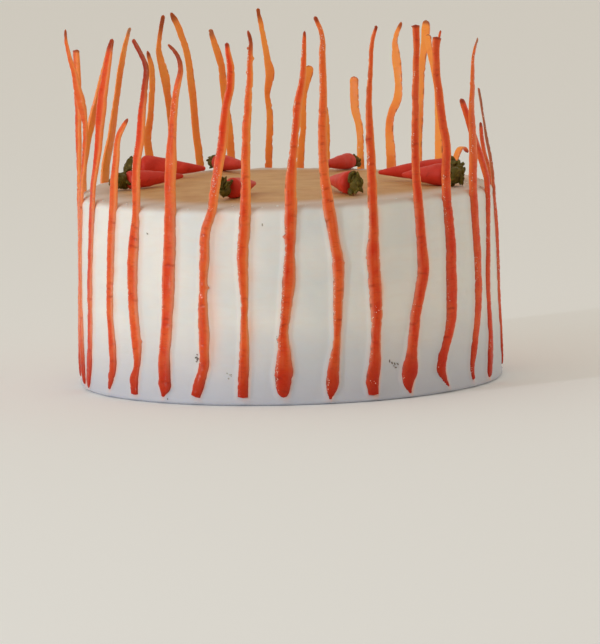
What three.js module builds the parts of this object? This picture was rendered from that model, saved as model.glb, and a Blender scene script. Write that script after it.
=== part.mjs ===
// A round iced carrot cake. A fence of thin candied carrot strips stands against its side, and eight
// small sugar carrots with green tops lie on it. Millimetres, +Z up. The origin is the centre of the
// cake's base. An angle is an azimuth in degrees: 0 at the front (-Y), 90 at the right (+X).
import * as THREE from 'three';

// The iced cake.
const FOOT_RADIUS = 108;
const RIM_RADIUS = 105;
const CAKE_HEIGHT = 99;
const RIM_ROUNDING = 4;
const FOOT_ROUNDING = 1.5;
const TOP_DOME = 2;
const RIM_SADDLE = 1;
const SIDE_WAVE = 0.35;
const CAKE_SEGMENTS = 96;
const WALL_BANDS = 7;
const ROUNDING_BANDS = 4;
const TOP_BANDS = 4;

// What stands or lies on the icing keeps this gap to it.
const GAP = 0.3;

// The carrot strips. Below this height they follow the side, above it they stand free.
const FREE_FROM = CAKE_HEIGHT + 2;
const STRIP_STEPS_PER_STATION = 2;
const THINNEST_STRIP = 0.9;
const THICKEST_STRIP = 2.2;
const THICKNESS_PER_WIDTH = 0.3;
const TURNED_OVER = 28;

// The sugar carrots and their green tops.
const CARROT_SEGMENTS = 10;
const TIP_RADIUS = 1.1;
const TIP_RAISE = 4.4;
const CARROT_TAPER = 1.4;
const TUFT_SEGMENTS = 15;
const TUFT_LOBES = 5;
const TUFT_LOBE_DEPTH = 0.2;

// One row for each strip, round the cake from the left. A station is [height, sideways, width], with a
// fourth number where the strip leans away from the line of the side: outwards, or inwards if negative.
// Thick is a factor on the thickness. Turn is how many degrees the free part is twisted.
const STRIPS = [
  { at: -92, thick: 1.4, turn: -28, stations: [[3, 0, 4], [14, 0, 6], [50, 1, 6], [101, 2, 6], [130, 2, 5],
    [155, 1, 6], [172, 1, 5.5]] },
  { at: -80, thick: 1.3, turn: -48, stations: [[3, 8, 4], [15, 4, 6], [45, -1, 5], [71, -4, 5], [102, 0, 5],
    [116, 0, 3.6, -1], [134, 0, 3, -2], [147, 0, 5.6], [160, 0, 3.4, 2.5], [176, 0, 2, 6],
    [184, 0, 1.2, 6.5]] },
  { at: -70, thick: 1.15, turn: -22, stations: [[2, -4, 4], [10, -2, 6.8], [25, 0, 6.8], [50, 0, 6.8],
    [75, 1, 6.6], [104, 4, 5.6], [125, 5, 5.4, -3], [148, 7, 6.4, -5], [170, 8, 4.6, -9], [180, 9, 3, -11]] },
  { at: -59, stations: [[4, 1, 2], [10, 3.6, 5], [19, 5.5, 6], [45, 2.8, 6.2], [75, 3.6, 6.6], [100, 6, 6.4],
    [118, 8.8, 5.4], [132, 12, 4.2], [142, 20, 2.4]] },
  { at: -48.5, stations: [[3, 3, 5], [11, 3, 6], [18, 5, 4.5], [28, 5, 7], [44, 3, 7], [61, 2, 7.5],
    [78, 3, 7.5], [95, 5, 5.5], [116, 6, 6], [134, 10, 6], [147, 11.5, 5], [158, 13.5, 4], [166, 15, 3.5],
    [172, 13, 3], [182, 6, 2.5]] },
  { at: -36, stations: [[3.4, -1.4, 1.6], [9, 0, 7.5], [25, 0, 7], [40, 2, 7], [60, 3, 8], [80, 4, 7.5],
    [107, 5, 6.5], [122, 6, 6.5], [134, 7, 5], [150, 9, 4], [160, 11, 3.5], [168, 13, 2.8], [175, 11, 2.2],
    [180, 6, 1.4]] },
  { at: -22.5, stations: [[4, -7, 5], [11, -5, 6], [21, -2, 5.5], [40, -2, 6], [58, -2, 4.5],
    [75, -1, 5.5], [87, 0, 5.5], [96, 3, 5], [112, 6, 5], [130, 9.5, 5], [148, 12, 4.2], [158, 14.5, 4],
    [168, 15, 3.8], [181, 13.5, 2]] },
  { at: -12, stations: [[4, -2, 5.5], [20, -1, 5.5], [47, 0, 4.2], [75, -0.5, 6], [92, 1, 6],
    [115, 2, 4.8], [138, 3, 4.3], [160, 5, 3.5], [180, 6, 2.3], [187, 5, 1.5]] },
  { at: 1, stations: [[4, -6, 5], [10, -6, 7.5], [17, -5.5, 9.5], [26, -5, 7], [37, -5, 5], [52, -3, 6],
    [62, -2, 7], [78, -1, 5.5], [96, 0, 6.5], [112, 0.5, 5.5], [130, 2.5, 4], [150, 5, 4.2], [162, 7.5, 3.4],
    [175, 8.5, 2.5], [186, 9, 1.5]] },
  { at: 12, stations: [[2, -4, 1.4], [9, -2.5, 6], [18, -1.5, 6], [31, 0.5, 4], [45, 1.5, 5],
    [68, 2.5, 6.2], [81, 1, 5.5], [97, -1, 6], [115, -3, 5], [135, -3.5, 4.6], [155, -2.5, 3.9],
    [174, -2.5, 3.4], [184, -2.5, 2.5], [193, -6, 2]] },
  { at: 24, stations: [[3, -4, 5], [11, -4, 7], [20, -2.5, 6.5], [33, -1.5, 5.5], [48, -0.5, 7],
    [63, -1, 7.4], [75, -1.5, 7.2], [88, -0.5, 5.5], [115, -0.5, 5], [135, -1, 4.4], [152, -1, 3.4],
    [169, 0.5, 2.5], [179, 1.5, 2.2], [187, 4, 1.8]] },
  { at: 38.5, stations: [[2, -10, 1.4], [8, -11, 6.6], [14, -10, 9.5], [25, -8, 6.5], [41, -5, 6.5],
    [51, -2, 6.5], [63, 1, 7.5], [78, 0.5, 6.5], [100, -0.5, 5.5], [116, -1.5, 5], [138, -1, 4.7],
    [158, 0, 4.5], [172, 1, 4], [186, 1, 4.5]] },
  { at: 50.5, stations: [[3, -7, 1.4], [8, -10, 4], [14, -12, 7], [23, -8.5, 6], [33, -4, 7], [47, -2, 8],
    [60, -1.5, 8], [78, -1, 7.5], [99, -2.5, 6.5], [114, -2, 6.2], [124, -1, 5.5], [136, -4, 5.5],
    [151, -6.2, 5.2], [160, -7.2, 5], [170, -7.4, 4.6], [179, -6.2, 5.6]] },
  { at: 64, stations: [[4, -11, 2], [10, -12, 4], [20, -9.5, 5.4], [35, -5, 6.5], [50, -2.5, 7.4],
    [70, -2, 7.4], [92, -2.5, 7], [110, -2, 7.4], [122, -1, 7], [140, -1.5, 6], [152, 0.5, 5],
    [164, 1.5, 3.8], [170, 4.6, 3], [175.5, 9.4, 1.8]] },
  { at: 70, thick: 1.15, turn: 14, stations: [[3, -5, 5], [12, -3, 6.4], [25, -1, 5.4], [50, -1, 5.2],
    [67, 2, 5.2], [88, 6, 5.2], [102, 7, 6], [114, 7, 6, -3], [124, 7, 5.6, -6], [134, 7, 5, -9],
    [144, 7, 4.4, -12]] },
  { at: 92, thick: 1.45, stations: [[3, 5, 3], [12, 5, 5], [37, 4, 5], [58, 0, 5], [76, -5, 5], [102, -1, 4],
    [117, -1, 4, -2], [131, -1, 3, -4], [147, -1, 1.4, -6]] },
  { at: 103, thick: 1.2, turn: 32, stations: [[4, 2, 4], [15, 1, 6], [50, 0, 6], [85, -3, 6], [101, -5, 6.4],
    [112, -5, 6, -2], [120, -5, 4.4, -3], [128, -5.5, 2.6, -3.4]] },
  { at: 113.5, stations: [[4, 0, 4], [14, -1, 6], [50, 1, 6], [101, 0, 5], [118, -1, 4], [128, 0, 2.5]] },
  { at: 124, stations: [[4, 0, 4], [14, 1, 6], [45, 1, 6], [80, 0, 5], [101, 0, 5], [107, 0, 5, 1.5],
    [111, 0, 5, 4], [111, 0, 4, 7], [108, 0, 3, 9]] },
  { at: 131.5, stations: [[4, -1, 4], [14, 1, 6], [50, 1, 6], [100, -1, 6], [130, -1.5, 5.2],
    [144, -1, 5], [158, 3, 4.6], [165, 4.4, 4.6], [170, 4.6, 5.2]] },
  { at: 139, stations: [[4, 0, 4], [14, -1, 6], [50, -1, 6], [101, 0, 5], [135, -1, 4.6, 1.5],
    [161, -2.6, 4.5, 3.5], [171, -3.8, 5.6, 4], [177, -4.3, 4.4, 4]] },
  { at: 147.5, stations: [[4, 0, 4], [14, 2, 6], [50, 2, 6], [99, 1.5, 5.6], [116, 2.5, 5.2],
    [127, 1, 4.7], [135, -3, 5], [143, -4, 4.4], [157, -3, 5], [166, -2.5, 3], [176, -7, 2.5]] },
  { at: 158.5, stations: [[4, -1, 4], [14, 0, 6], [50, 1, 6], [98, -0.5, 4], [119, -0.5, 4.2],
    [131, 2, 4.9], [147, 2, 5]] },
  { at: 169, stations: [[4, 1, 4], [14, 1, 5], [50, 0, 5], [99, -1, 4], [116, -1.5, 3.8],
    [132, -1.5, 2.5]] },
  { at: 176, stations: [[4, 0, 4], [14, 0, 6], [50, -1, 6], [99, 0, 4], [119, -2, 3.3], [137, -3, 3.3],
    [149, -5.5, 4.8], [153, -5.5, 4.5]] },
  { at: 185.5, stations: [[4, 0, 4], [14, 0, 5], [50, 1, 5], [99, -0.5, 4], [127, -2, 3.5],
    [138, -1, 3], [149, -2.5, 4.8], [157, -1.5, 3.6], [170, 0.5, 2.8], [184, 3, 2]] },
  { at: 196, stations: [[4, 1, 4], [14, 1, 6], [50, -1, 6], [99, 0, 4.5], [117, 0.5, 4.3],
    [136, 2.5, 3.8], [153, 4, 4], [164, 7, 3.7], [174, 10, 2.5]] },
  { at: 205, stations: [[4, 0, 4], [14, 1, 6], [50, 2, 6], [99, 1, 4.7], [121, 3, 4.3], [143, 4.5, 4.5],
    [162, 7, 4], [173, 10.5, 3.8], [184, 16, 3]] },
  { at: 216, stations: [[4, 1, 4], [14, 0, 6], [50, -1, 6], [101, -2, 4.6], [128, -2, 3.9],
    [145, 0, 5], [153, 1.5, 5.6], [161, 3.5, 4.4], [168, 4, 3.2], [183, 0.5, 2.8]] },
  { at: 225, stations: [[4, 0, 4], [14, -1, 6], [50, -2, 6], [101, -4, 5.5], [118, -3, 5],
    [134, -6, 3.7], [154, -7, 3.6], [165, -4.5, 2]] },
  { at: 243, stations: [[4, -1, 4], [14, 0, 7], [50, 1, 7], [101, 0, 8], [122, 0, 8, -4],
    [142, 0, 5, -8], [163, 0, 5, -12], [180, 0, 3.5, -17]] },
  { at: 257, thick: 1.2, turn: 15, stations: [[4, 2, 4], [14, 1, 6], [50, 0, 6], [101, 4, 5],
    [120, 4, 4.6, -2], [134, 4, 6, -5], [148, 4, 6, -9], [160, 4, 4.8, -12], [173, 4, 3, -15]] },
];

// One row for each sugar carrot: where its thick end and its tip lie, and its largest radius. Where its
// green top isn't round and central, slim is a factor on its breadth, and aside is how far it sits to
// the right of the line from the thick end to the tip.
const SUGAR_CARROTS = [
  { thick: [-76, 51], tip: [-42, 47], radius: 5.8 },
  { thick: [-82, -3], tip: [-53, 9], radius: 4.8 },
  { thick: [-28, -67], tip: [-16, -40], radius: 5.2, slim: 0.62, aside: -1.6 },
  { thick: [33, -68], tip: [21, -35], radius: 5.7, slim: 0.66, aside: 0.4 },
  { thick: [82, -33], tip: [59, -15], radius: 5.6 },
  { thick: [82, 1], tip: [47, 0], radius: 5.6 },
  { thick: [34, 87], tip: [19, 57], radius: 4.2 },
  { thick: [-36, 87], tip: [-20, 57], radius: 4.3 },
];

// Materials.
const finish = (color, roughness) => new THREE.MeshStandardMaterial({ color, roughness, metalness: 0 });
const ICING = finish(0xe6e1d8, 0.75);
const CANDIED_CARROT = finish(0xd2601f, 0.3);
const RED_SUGAR = finish(0xb4261a, 0.55);
const GREEN_SUGAR = finish(0x363a0d, 0.8);

const radians = THREE.MathUtils.degToRad;
const sum = (values) => values.reduce((total, value) => total + value, 0);

/** How far the hand-spread side stands out at an azimuth in radians and a height. */
function sideWave(azimuth, height) {
  const waves = [Math.sin(3 * azimuth + 0.7), Math.sin(5 * azimuth + height / 28), Math.sin(8 * azimuth - 2)];
  return (SIDE_WAVE * sum(waves)) / waves.length;
}

/** The radius of the side at an azimuth in radians and a height. */
function sideRadius(azimuth, height) {
  const up = THREE.MathUtils.clamp(height / CAKE_HEIGHT, 0, 1);
  return THREE.MathUtils.lerp(FOOT_RADIUS, RIM_RADIUS, up) + sideWave(azimuth, height);
}

/** How much the saddle of the rim lifts a point of the cake at an azimuth in radians. */
function saddle(azimuth, height) {
  return RIM_SADDLE * Math.sin(2 * azimuth) * (height / CAKE_HEIGHT) ** 2;
}

/** The height of the top at a place on it. */
function topHeight(x, y) {
  const out = Math.hypot(x, y) / RIM_RADIUS;
  const azimuth = Math.atan2(x, -y);
  return CAKE_HEIGHT + TOP_DOME * (1 - out * out) + saddle(azimuth, CAKE_HEIGHT) * out * out;
}

/** The profile of the cake from the middle of its base to the middle of its top. */
function cakeProfile() {
  const points = [new THREE.Vector2(0, 0)];
  points.push(new THREE.Vector2(FOOT_RADIUS - FOOT_ROUNDING, 0));
  for (let i = 0; i <= WALL_BANDS; i += 1) {
    const height = THREE.MathUtils.lerp(FOOT_ROUNDING, CAKE_HEIGHT - RIM_ROUNDING, i / WALL_BANDS);
    const out = THREE.MathUtils.lerp(FOOT_RADIUS, RIM_RADIUS, height / CAKE_HEIGHT);
    points.push(new THREE.Vector2(out, height));
  }
  for (let i = 1; i <= ROUNDING_BANDS; i += 1) {
    const turn = ((i / ROUNDING_BANDS) * Math.PI) / 2;
    const out = RIM_RADIUS - RIM_ROUNDING * (1 - Math.cos(turn));
    points.push(new THREE.Vector2(out, CAKE_HEIGHT - RIM_ROUNDING * (1 - Math.sin(turn))));
  }
  for (let i = 1; i <= TOP_BANDS; i += 1) {
    const out = (RIM_RADIUS - RIM_ROUNDING) * (1 - i / TOP_BANDS);
    points.push(new THREE.Vector2(out, CAKE_HEIGHT + TOP_DOME * (1 - (out / RIM_RADIUS) ** 2)));
  }
  return points;
}

/** The iced cake: the turned profile, made as uneven as icing spread by hand. */
function icedCake() {
  const geometry = new THREE.LatheGeometry(cakeProfile(), CAKE_SEGMENTS).rotateX(Math.PI / 2);
  const place = geometry.getAttribute('position');
  for (let i = 0; i < place.count; i += 1) {
    const [x, y, z] = [place.getX(i), place.getY(i), place.getZ(i)];
    const out = Math.hypot(x, y);
    const azimuth = Math.atan2(x, -y);
    const atSide = (out / RIM_RADIUS) ** 8;
    const spread = out > 0 ? 1 + (sideWave(azimuth, z) * Math.min(atSide, 1)) / out : 1;
    place.setXYZ(i, x * spread, y * spread, z + saddle(azimuth, z) * (out / RIM_RADIUS) ** 2);
  }
  return geometry;
}

/** A closed skin over rings of equal length, with a flat end on the first and the last ring. */
function skinOver(rings) {
  const sides = rings[0].length;
  const indices = [];
  for (let ring = 0; ring + 1 < rings.length; ring += 1) {
    for (let side = 0; side < sides; side += 1) {
      const a = ring * sides + side;
      const b = ring * sides + ((side + 1) % sides);
      indices.push(a, b, b + sides, a, b + sides, a + sides);
    }
  }
  const last = (rings.length - 1) * sides;
  for (let side = 1; side + 1 < sides; side += 1) {
    indices.push(0, side + 1, side);
    indices.push(last, last + side, last + side + 1);
  }
  const geometry = new THREE.BufferGeometry().setFromPoints(rings.flat());
  geometry.setIndex(indices);
  return geometry;
}

/** The section of a strip, flat on the inside and crowned outside: [sideways, outwards] of each corner. */
function stripSection(width, factor) {
  const half = width / 2;
  const thick = factor * THREE.MathUtils.clamp(width * THICKNESS_PER_WIDTH, THINNEST_STRIP, THICKEST_STRIP);
  return [[-half, 0], [-half, thick * 0.45], [-half * 0.5, thick], [half * 0.5, thick], [half, thick * 0.45],
    [half, 0]];
}

/** A carrot strip: a crowned ribbon that stands against the side and rises free above the rim. */
function carrotStrip({ at, stations, thick = 1, turn = 0 }) {
  const line = (points) => new THREE.CatmullRomCurve3(points, false, 'catmullrom', 0.5);
  const run = line(stations.map(([height, sideways, , out = 0]) => new THREE.Vector3(sideways, out, height)));
  const widths = line(stations.map(([, , width]) => new THREE.Vector3(width, 0, 0)));
  const steps = (stations.length - 1) * STRIP_STEPS_PER_STATION;
  const azimuthAt = (sideways) => radians(at) + sideways / RIM_RADIUS;
  const placeAt = (t) => {
    const { x: sideways, y: lean, z: height } = run.getPoint(t);
    const azimuth = azimuthAt(sideways);
    const freeLean = height < FREE_FROM ? Math.max(lean, 0) : lean;
    const out = sideRadius(azimuth, height) + GAP + freeLean;
    return new THREE.Vector3(out * Math.sin(azimuth), -out * Math.cos(azimuth), height);
  };
  const rings = [];
  for (let step = 0; step <= steps; step += 1) {
    const t = step / steps;
    const centre = placeAt(t);
    const along = placeAt(Math.min(t + 0.01, 1)).sub(placeAt(Math.max(t - 0.01, 0))).normalize();
    const azimuth = azimuthAt(run.getPoint(t).x);
    const level = new THREE.Vector3(Math.cos(azimuth), Math.sin(azimuth), 0);
    const twist = -radians(turn) * THREE.MathUtils.smoothstep(centre.z, FREE_FROM, FREE_FROM + TURNED_OVER);
    const across = level.addScaledVector(along, -level.dot(along)).normalize().applyAxisAngle(along, twist);
    const outwards = across.clone().cross(along);
    rings.push(stripSection(widths.getPoint(t).x, thick).map(([side, out]) =>
      centre.clone().addScaledVector(across, side).addScaledVector(outwards, out)));
  }
  return skinOver(rings);
}

/** The body of a sugar carrot along +Y, from its thick end at 0 to its tip. */
function sugarCarrotBody(radius, length) {
  const shoulder = radius * 0.5;
  const profile = [new THREE.Vector2(0, 0), new THREE.Vector2(radius * 0.72, 0.4)];
  for (const share of [0, 0.25, 0.5, 0.75, 1]) {
    const y = THREE.MathUtils.lerp(shoulder, length - TIP_RADIUS, share);
    profile.push(new THREE.Vector2(THREE.MathUtils.lerp(radius, TIP_RADIUS, share ** CARROT_TAPER), y));
  }
  profile.push(new THREE.Vector2(0, length));
  return new THREE.LatheGeometry(profile, CARROT_SEGMENTS);
}

/** The green top of a sugar carrot along -Y: a ragged tuft with lobes all round. */
function greenTuft(radius, slim, aside) {
  const outline = [[0, 0], [0.55, 0], [0.9, -0.5], [1, -1.2], [0.75, -1.8], [0, -2]];
  const profile = outline.map(([out, along]) => new THREE.Vector2(out * radius, along * radius)).reverse();
  const geometry = new THREE.LatheGeometry(profile, TUFT_SEGMENTS);
  const place = geometry.getAttribute('position');
  const widest = radius * (1 + TUFT_LOBE_DEPTH);
  for (let i = 0; i < place.count; i += 1) {
    const [x, y, z] = [place.getX(i), place.getY(i), place.getZ(i)];
    const lobe = 1 + TUFT_LOBE_DEPTH * Math.cos(TUFT_LOBES * Math.atan2(x, z) + y / radius);
    const size = (lobe * radius) / widest;
    place.setXYZ(i, x * size * slim + aside, y * (y < -radius ? lobe : 1), z * size);
  }
  return geometry;
}

/** A sugar carrot and its green top, laid on the cake: [body, tuft], each placed and turned. */
function sugarCarrot({ thick, tip, radius, slim = 1, aside = 0 }) {
  const from = new THREE.Vector3(...thick, topHeight(...thick) + GAP + radius);
  const to = new THREE.Vector3(...tip, topHeight(...tip) + TIP_RAISE);
  const direction = to.clone().sub(from).normalize();
  const body = new THREE.Mesh(sugarCarrotBody(radius, to.distanceTo(from)), RED_SUGAR.clone());
  const tuft = new THREE.Mesh(greenTuft(radius, slim, aside), GREEN_SUGAR.clone());
  const turn = new THREE.Quaternion().setFromUnitVectors(new THREE.Vector3(0, 1, 0), direction);
  for (const mesh of [body, tuft]) {
    mesh.quaternion.copy(turn);
    mesh.position.copy(from);
  }
  tuft.position.addScaledVector(direction, -GAP);
  return [body, tuft];
}

const cake = new THREE.Group();

const icing = new THREE.Mesh(icedCake(), ICING);
icing.name = 'iced_cake';
cake.add(icing);

STRIPS.forEach((row, index) => {
  const strip = new THREE.Mesh(carrotStrip(row), CANDIED_CARROT.clone());
  strip.name = `carrot_strip_${String(index + 1).padStart(2, '0')}`;
  cake.add(strip);
});

SUGAR_CARROTS.forEach((row, index) => {
  const [body, tuft] = sugarCarrot(row);
  body.name = `sugar_carrot_${index + 1}`;
  tuft.name = `carrot_top_${index + 1}`;
  cake.add(body, tuft);
});

export default cake;
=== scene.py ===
"""A round iced carrot cake: buttercream, a fence of candied carrot strips and eight sugar paste carrots.

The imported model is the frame: metres, +Z up, the origin at the centre of the cake's base and -Y towards
the front. The sizes below are millimetres, and an azimuth is 0 at the front (-Y) and 90 at the right (+X).
"""

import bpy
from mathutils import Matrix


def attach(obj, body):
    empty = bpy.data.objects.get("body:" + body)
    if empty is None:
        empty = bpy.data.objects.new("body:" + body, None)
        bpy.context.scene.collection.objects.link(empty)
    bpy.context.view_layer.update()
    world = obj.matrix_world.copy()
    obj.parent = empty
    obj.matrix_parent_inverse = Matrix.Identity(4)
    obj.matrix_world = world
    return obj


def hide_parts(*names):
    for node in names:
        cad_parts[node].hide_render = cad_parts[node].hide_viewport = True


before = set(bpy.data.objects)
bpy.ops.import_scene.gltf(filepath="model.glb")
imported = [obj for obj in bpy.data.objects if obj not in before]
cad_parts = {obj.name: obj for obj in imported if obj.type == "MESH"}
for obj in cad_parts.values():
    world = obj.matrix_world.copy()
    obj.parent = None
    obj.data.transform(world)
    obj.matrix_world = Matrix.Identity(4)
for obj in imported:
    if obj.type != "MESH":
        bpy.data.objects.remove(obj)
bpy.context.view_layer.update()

import itertools
import logging
import math
from dataclasses import dataclass, field
from enum import Enum

import bpy
import numpy as np
from mathutils import Matrix, Vector

LOG = logging.getLogger("carrot_cake")
MM = 0.001  # one millimetre in metres
BODY = "root"
HASH_FACTORS = (73856093, 19349663, 83492791, 40503)  # large odd numbers that tell neighbouring cells apart
HASH_MIXER = 1274126177
LOW_32_BITS = 0xFFFFFFFF


# ---------------------------------------------------------------- small tools


def srgb(code: str) -> tuple[float, float, float, float]:
    """Turns an sRGB hex colour into the linear colour that a shader takes.

    Args:
        code: The colour as #RRGGBB.

    Returns:
        Linear red, green, blue and an alpha of 1.
    """
    shares = [int(code[i : i + 2], 16) / 255 for i in (1, 3, 5)]
    linear = [s / 12.92 if s <= 0.04045 else ((s + 0.055) / 1.055) ** 2.4 for s in shares]
    return (*linear, 1.0)


def per_mm(size: float) -> float:
    """The texture scale, per metre, of a pattern whose features are this many millimetres across."""
    return 1.0 / (size * MM)


def fill(tree: bpy.types.NodeTree, node: bpy.types.Node, inputs: dict) -> None:
    """Gives a node's inputs their constant values and their links.

    Args:
        tree: The node tree.
        node: One of its nodes.
        inputs: By socket name or number, a value, or the output socket to link.
    """
    for socket, value in inputs.items():
        if isinstance(value, bpy.types.NodeSocket):
            tree.links.new(value, node.inputs[socket])
        else:
            node.inputs[socket].default_value = value


def add_node(tree: bpy.types.NodeTree, kind: str, settings: dict | None = None,
             inputs: dict | None = None) -> bpy.types.Node:
    """Adds a node to a tree, with its settings, values and links.

    Args:
        tree: The node tree.
        kind: The node's type.
        settings: Properties of the node, by name.
        inputs: By socket name or number, a value, or the output socket to link.

    Returns:
        The new node.
    """
    node = tree.nodes.new(kind)
    for name, value in (settings or {}).items():
        setattr(node, name, value)
    fill(tree, node, inputs or {})
    return node


def new_material(name: str) -> tuple[bpy.types.Material, bpy.types.NodeTree, bpy.types.Node]:
    """Makes a node material.

    Args:
        name: Its name.

    Returns:
        The material, its node tree and its shader.
    """
    material = bpy.data.materials.new(name)
    material.use_nodes = True
    return material, material.node_tree, material.node_tree.nodes["Principled BSDF"]


def mesh_values(tree: bpy.types.NodeTree, *names: str) -> dict[str, bpy.types.NodeSocket]:
    """The values that the mesh carries, by name."""
    return {name: add_node(tree, "ShaderNodeAttribute", {"attribute_name": name}).outputs["Fac"]
            for name in names}


def stretched(tree: bpy.types.NodeTree, place: bpy.types.NodeSocket,
              scale: tuple[float, float, float]) -> bpy.types.NodeSocket:
    """The place with its axes scaled: a pattern is drawn out along an axis whose scale is small."""
    return add_node(tree, "ShaderNodeMapping", inputs={"Vector": place, "Scale": scale}).outputs[0]


def mottle(tree: bpy.types.NodeTree, place: bpy.types.NodeSocket, size: float, detail: float = 2.0,
           distortion: float = 0.0) -> bpy.types.NodeSocket:
    """The value of a soft noise whose features are this many millimetres across."""
    return add_node(tree, "ShaderNodeTexNoise", inputs={
        "Vector": place, "Scale": per_mm(size), "Detail": detail, "Distortion": distortion}).outputs[0]


def dent(tree: bpy.types.NodeTree, height: bpy.types.NodeSocket, strength: float, depth: float,
         under: bpy.types.NodeSocket | None = None) -> bpy.types.NodeSocket:
    """Bends the surface normal by a fine relief.

    Args:
        tree: The node tree.
        height: The relief's height, from 0 to 1.
        strength: The share of the relief that shows.
        depth: How deep it is in millimetres.
        under: The normal of a relief that it lies on.

    Returns:
        The bent normal.
    """
    bump = add_node(tree, "ShaderNodeBump", inputs={
        "Strength": strength, "Distance": depth * MM, "Height": height})
    if under is not None:
        fill(tree, bump, {"Normal": under})
    return bump.outputs[0]


def layered(tree: bpy.types.NodeTree, base: str, layers: tuple[tuple, ...]) -> bpy.types.NodeSocket:
    """Lays colours over one another.

    Args:
        tree: The node tree.
        base: The lowest colour.
        layers: From the lowest, what drives the layer, its value where the layer sets in and where it is
            full, the share of the layer there, and its colour or a colour's socket.

    Returns:
        The socket of the mixed colour.
    """
    colour = srgb(base)
    for driver, start, full, most, above in layers:
        share = add_node(tree, "ShaderNodeMapRange", inputs={0: driver, 1: start, 2: full, 4: most})
        over = srgb(above) if isinstance(above, str) else above
        colour = add_node(tree, "ShaderNodeMix", {"data_type": "RGBA"}, {
            0: share.outputs[0], 6: colour, 7: over}).outputs[2]
    return colour


def smooth(low: float, high: float, value: np.ndarray) -> np.ndarray:
    """0 at low, 1 at high, and a smooth step between them. Low may be the larger of the two."""
    share = np.clip((np.asarray(value, float) - low) / (high - low), 0, 1)
    return share * share * (3 - 2 * share)


def outward(azimuth: np.ndarray) -> np.ndarray:
    """The level directions out of the cake at these azimuths, in radians, one row each."""
    return np.stack([np.sin(azimuth), -np.cos(azimuth), np.zeros_like(azimuth)], 1)


def rightward(azimuth: np.ndarray) -> np.ndarray:
    """The level directions to the right along the side at these azimuths, in radians, one row each."""
    return np.stack([np.cos(azimuth), np.sin(azimuth), np.zeros_like(azimuth)], 1)


def noise(points: np.ndarray, cell: float, seed: int) -> np.ndarray:
    """Smooth random values over space.

    Args:
        points: Places, one row each, in millimetres.
        cell: The size of a bump in millimetres.
        seed: Chooses the pattern.

    Returns:
        One value from -1 to 1 for each place.
    """
    scaled = np.asarray(points, float) / cell + seed * 7.31
    corner = np.floor(scaled).astype(np.int64)
    part = scaled - corner
    part = part * part * (3 - 2 * part)
    total = np.zeros(len(scaled))
    for step in itertools.product((0, 1), repeat=3):
        x, y, z = (corner + np.array(step)).T
        by_x, by_y, by_z, by_seed = HASH_FACTORS
        mixed = ((x * by_x) ^ (y * by_y) ^ (z * by_z) ^ (seed * by_seed)) & LOW_32_BITS
        mixed = ((mixed ^ (mixed >> 13)) * HASH_MIXER) & LOW_32_BITS
        mixed ^= mixed >> 16
        share = np.prod(np.where(step, part, 1 - part), axis=1)
        total += share * ((mixed & 0xFFFF) / 32767.5 - 1)
    return total


def noise_along(distance: np.ndarray, cell: float, seed: int) -> np.ndarray:
    """Smooth random values, from -1 to 1, along a line."""
    flat = np.asarray(distance, float)
    return noise(np.stack([flat, np.full_like(flat, 0.37 * cell), np.zeros_like(flat)], 1), cell, seed)


@dataclass(frozen=True)
class Ripple:
    """One band of random relief: its depth, the size of its bumps, its seed, and a scale for each axis."""

    depth: float
    cell: float
    seed: int
    scale: tuple[float, float, float] = (1.0, 1.0, 1.0)

    def at(self, place: np.ndarray) -> np.ndarray:
        """How far it stands out at these places."""
        return self.depth * noise(place * np.array(self.scale), self.cell, self.seed)


def spline(knots: np.ndarray, share: np.ndarray) -> np.ndarray:
    """Points on a uniform Catmull-Rom spline.

    Args:
        knots: The points that it goes through, one row each.
        share: Where along it, from 0 to 1.

    Returns:
        One row for each share.
    """
    held = np.vstack([2 * knots[0] - knots[1], knots, 2 * knots[-1] - knots[-2]])
    place = np.clip(share, 0, 1) * (len(knots) - 1)
    index = np.minimum(place.astype(int), len(knots) - 2)
    t = (place - index)[:, None]
    a, b, c, d = (held[index + i] for i in range(4))
    bend = a - 2.5 * b + 2 * c - 0.5 * d
    return b + t * (0.5 * (c - a) + t * (bend + t * (1.5 * (b - c) + 0.5 * (d - a))))


def unit(vectors: np.ndarray) -> np.ndarray:
    """The vectors, each with a length of 1."""
    return vectors / np.maximum(np.linalg.norm(vectors, axis=-1, keepdims=True), 1e-9)


def tube_faces(rings: int, sides: int) -> list[tuple[int, ...]]:
    """The faces of a closed tube whose points are its rings in order, then its first and its last pole.

    Args:
        rings: How many rings there are.
        sides: How many points are in a ring.

    Returns:
        Quads between the rings and triangles to the two poles.
    """
    faces: list[tuple[int, ...]] = []
    for ring, side in itertools.product(range(rings - 1), range(sides)):
        a, b = ring * sides + side, ring * sides + (side + 1) % sides
        faces.append((a, b, b + sides, a + sides))
    first, last = rings * sides, rings * sides + 1
    for side in range(sides):
        after = (side + 1) % sides
        faces.append((first, after, side))
        faces.append((last, last - 1 - sides + side, last - 1 - sides + after))
    return faces


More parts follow.
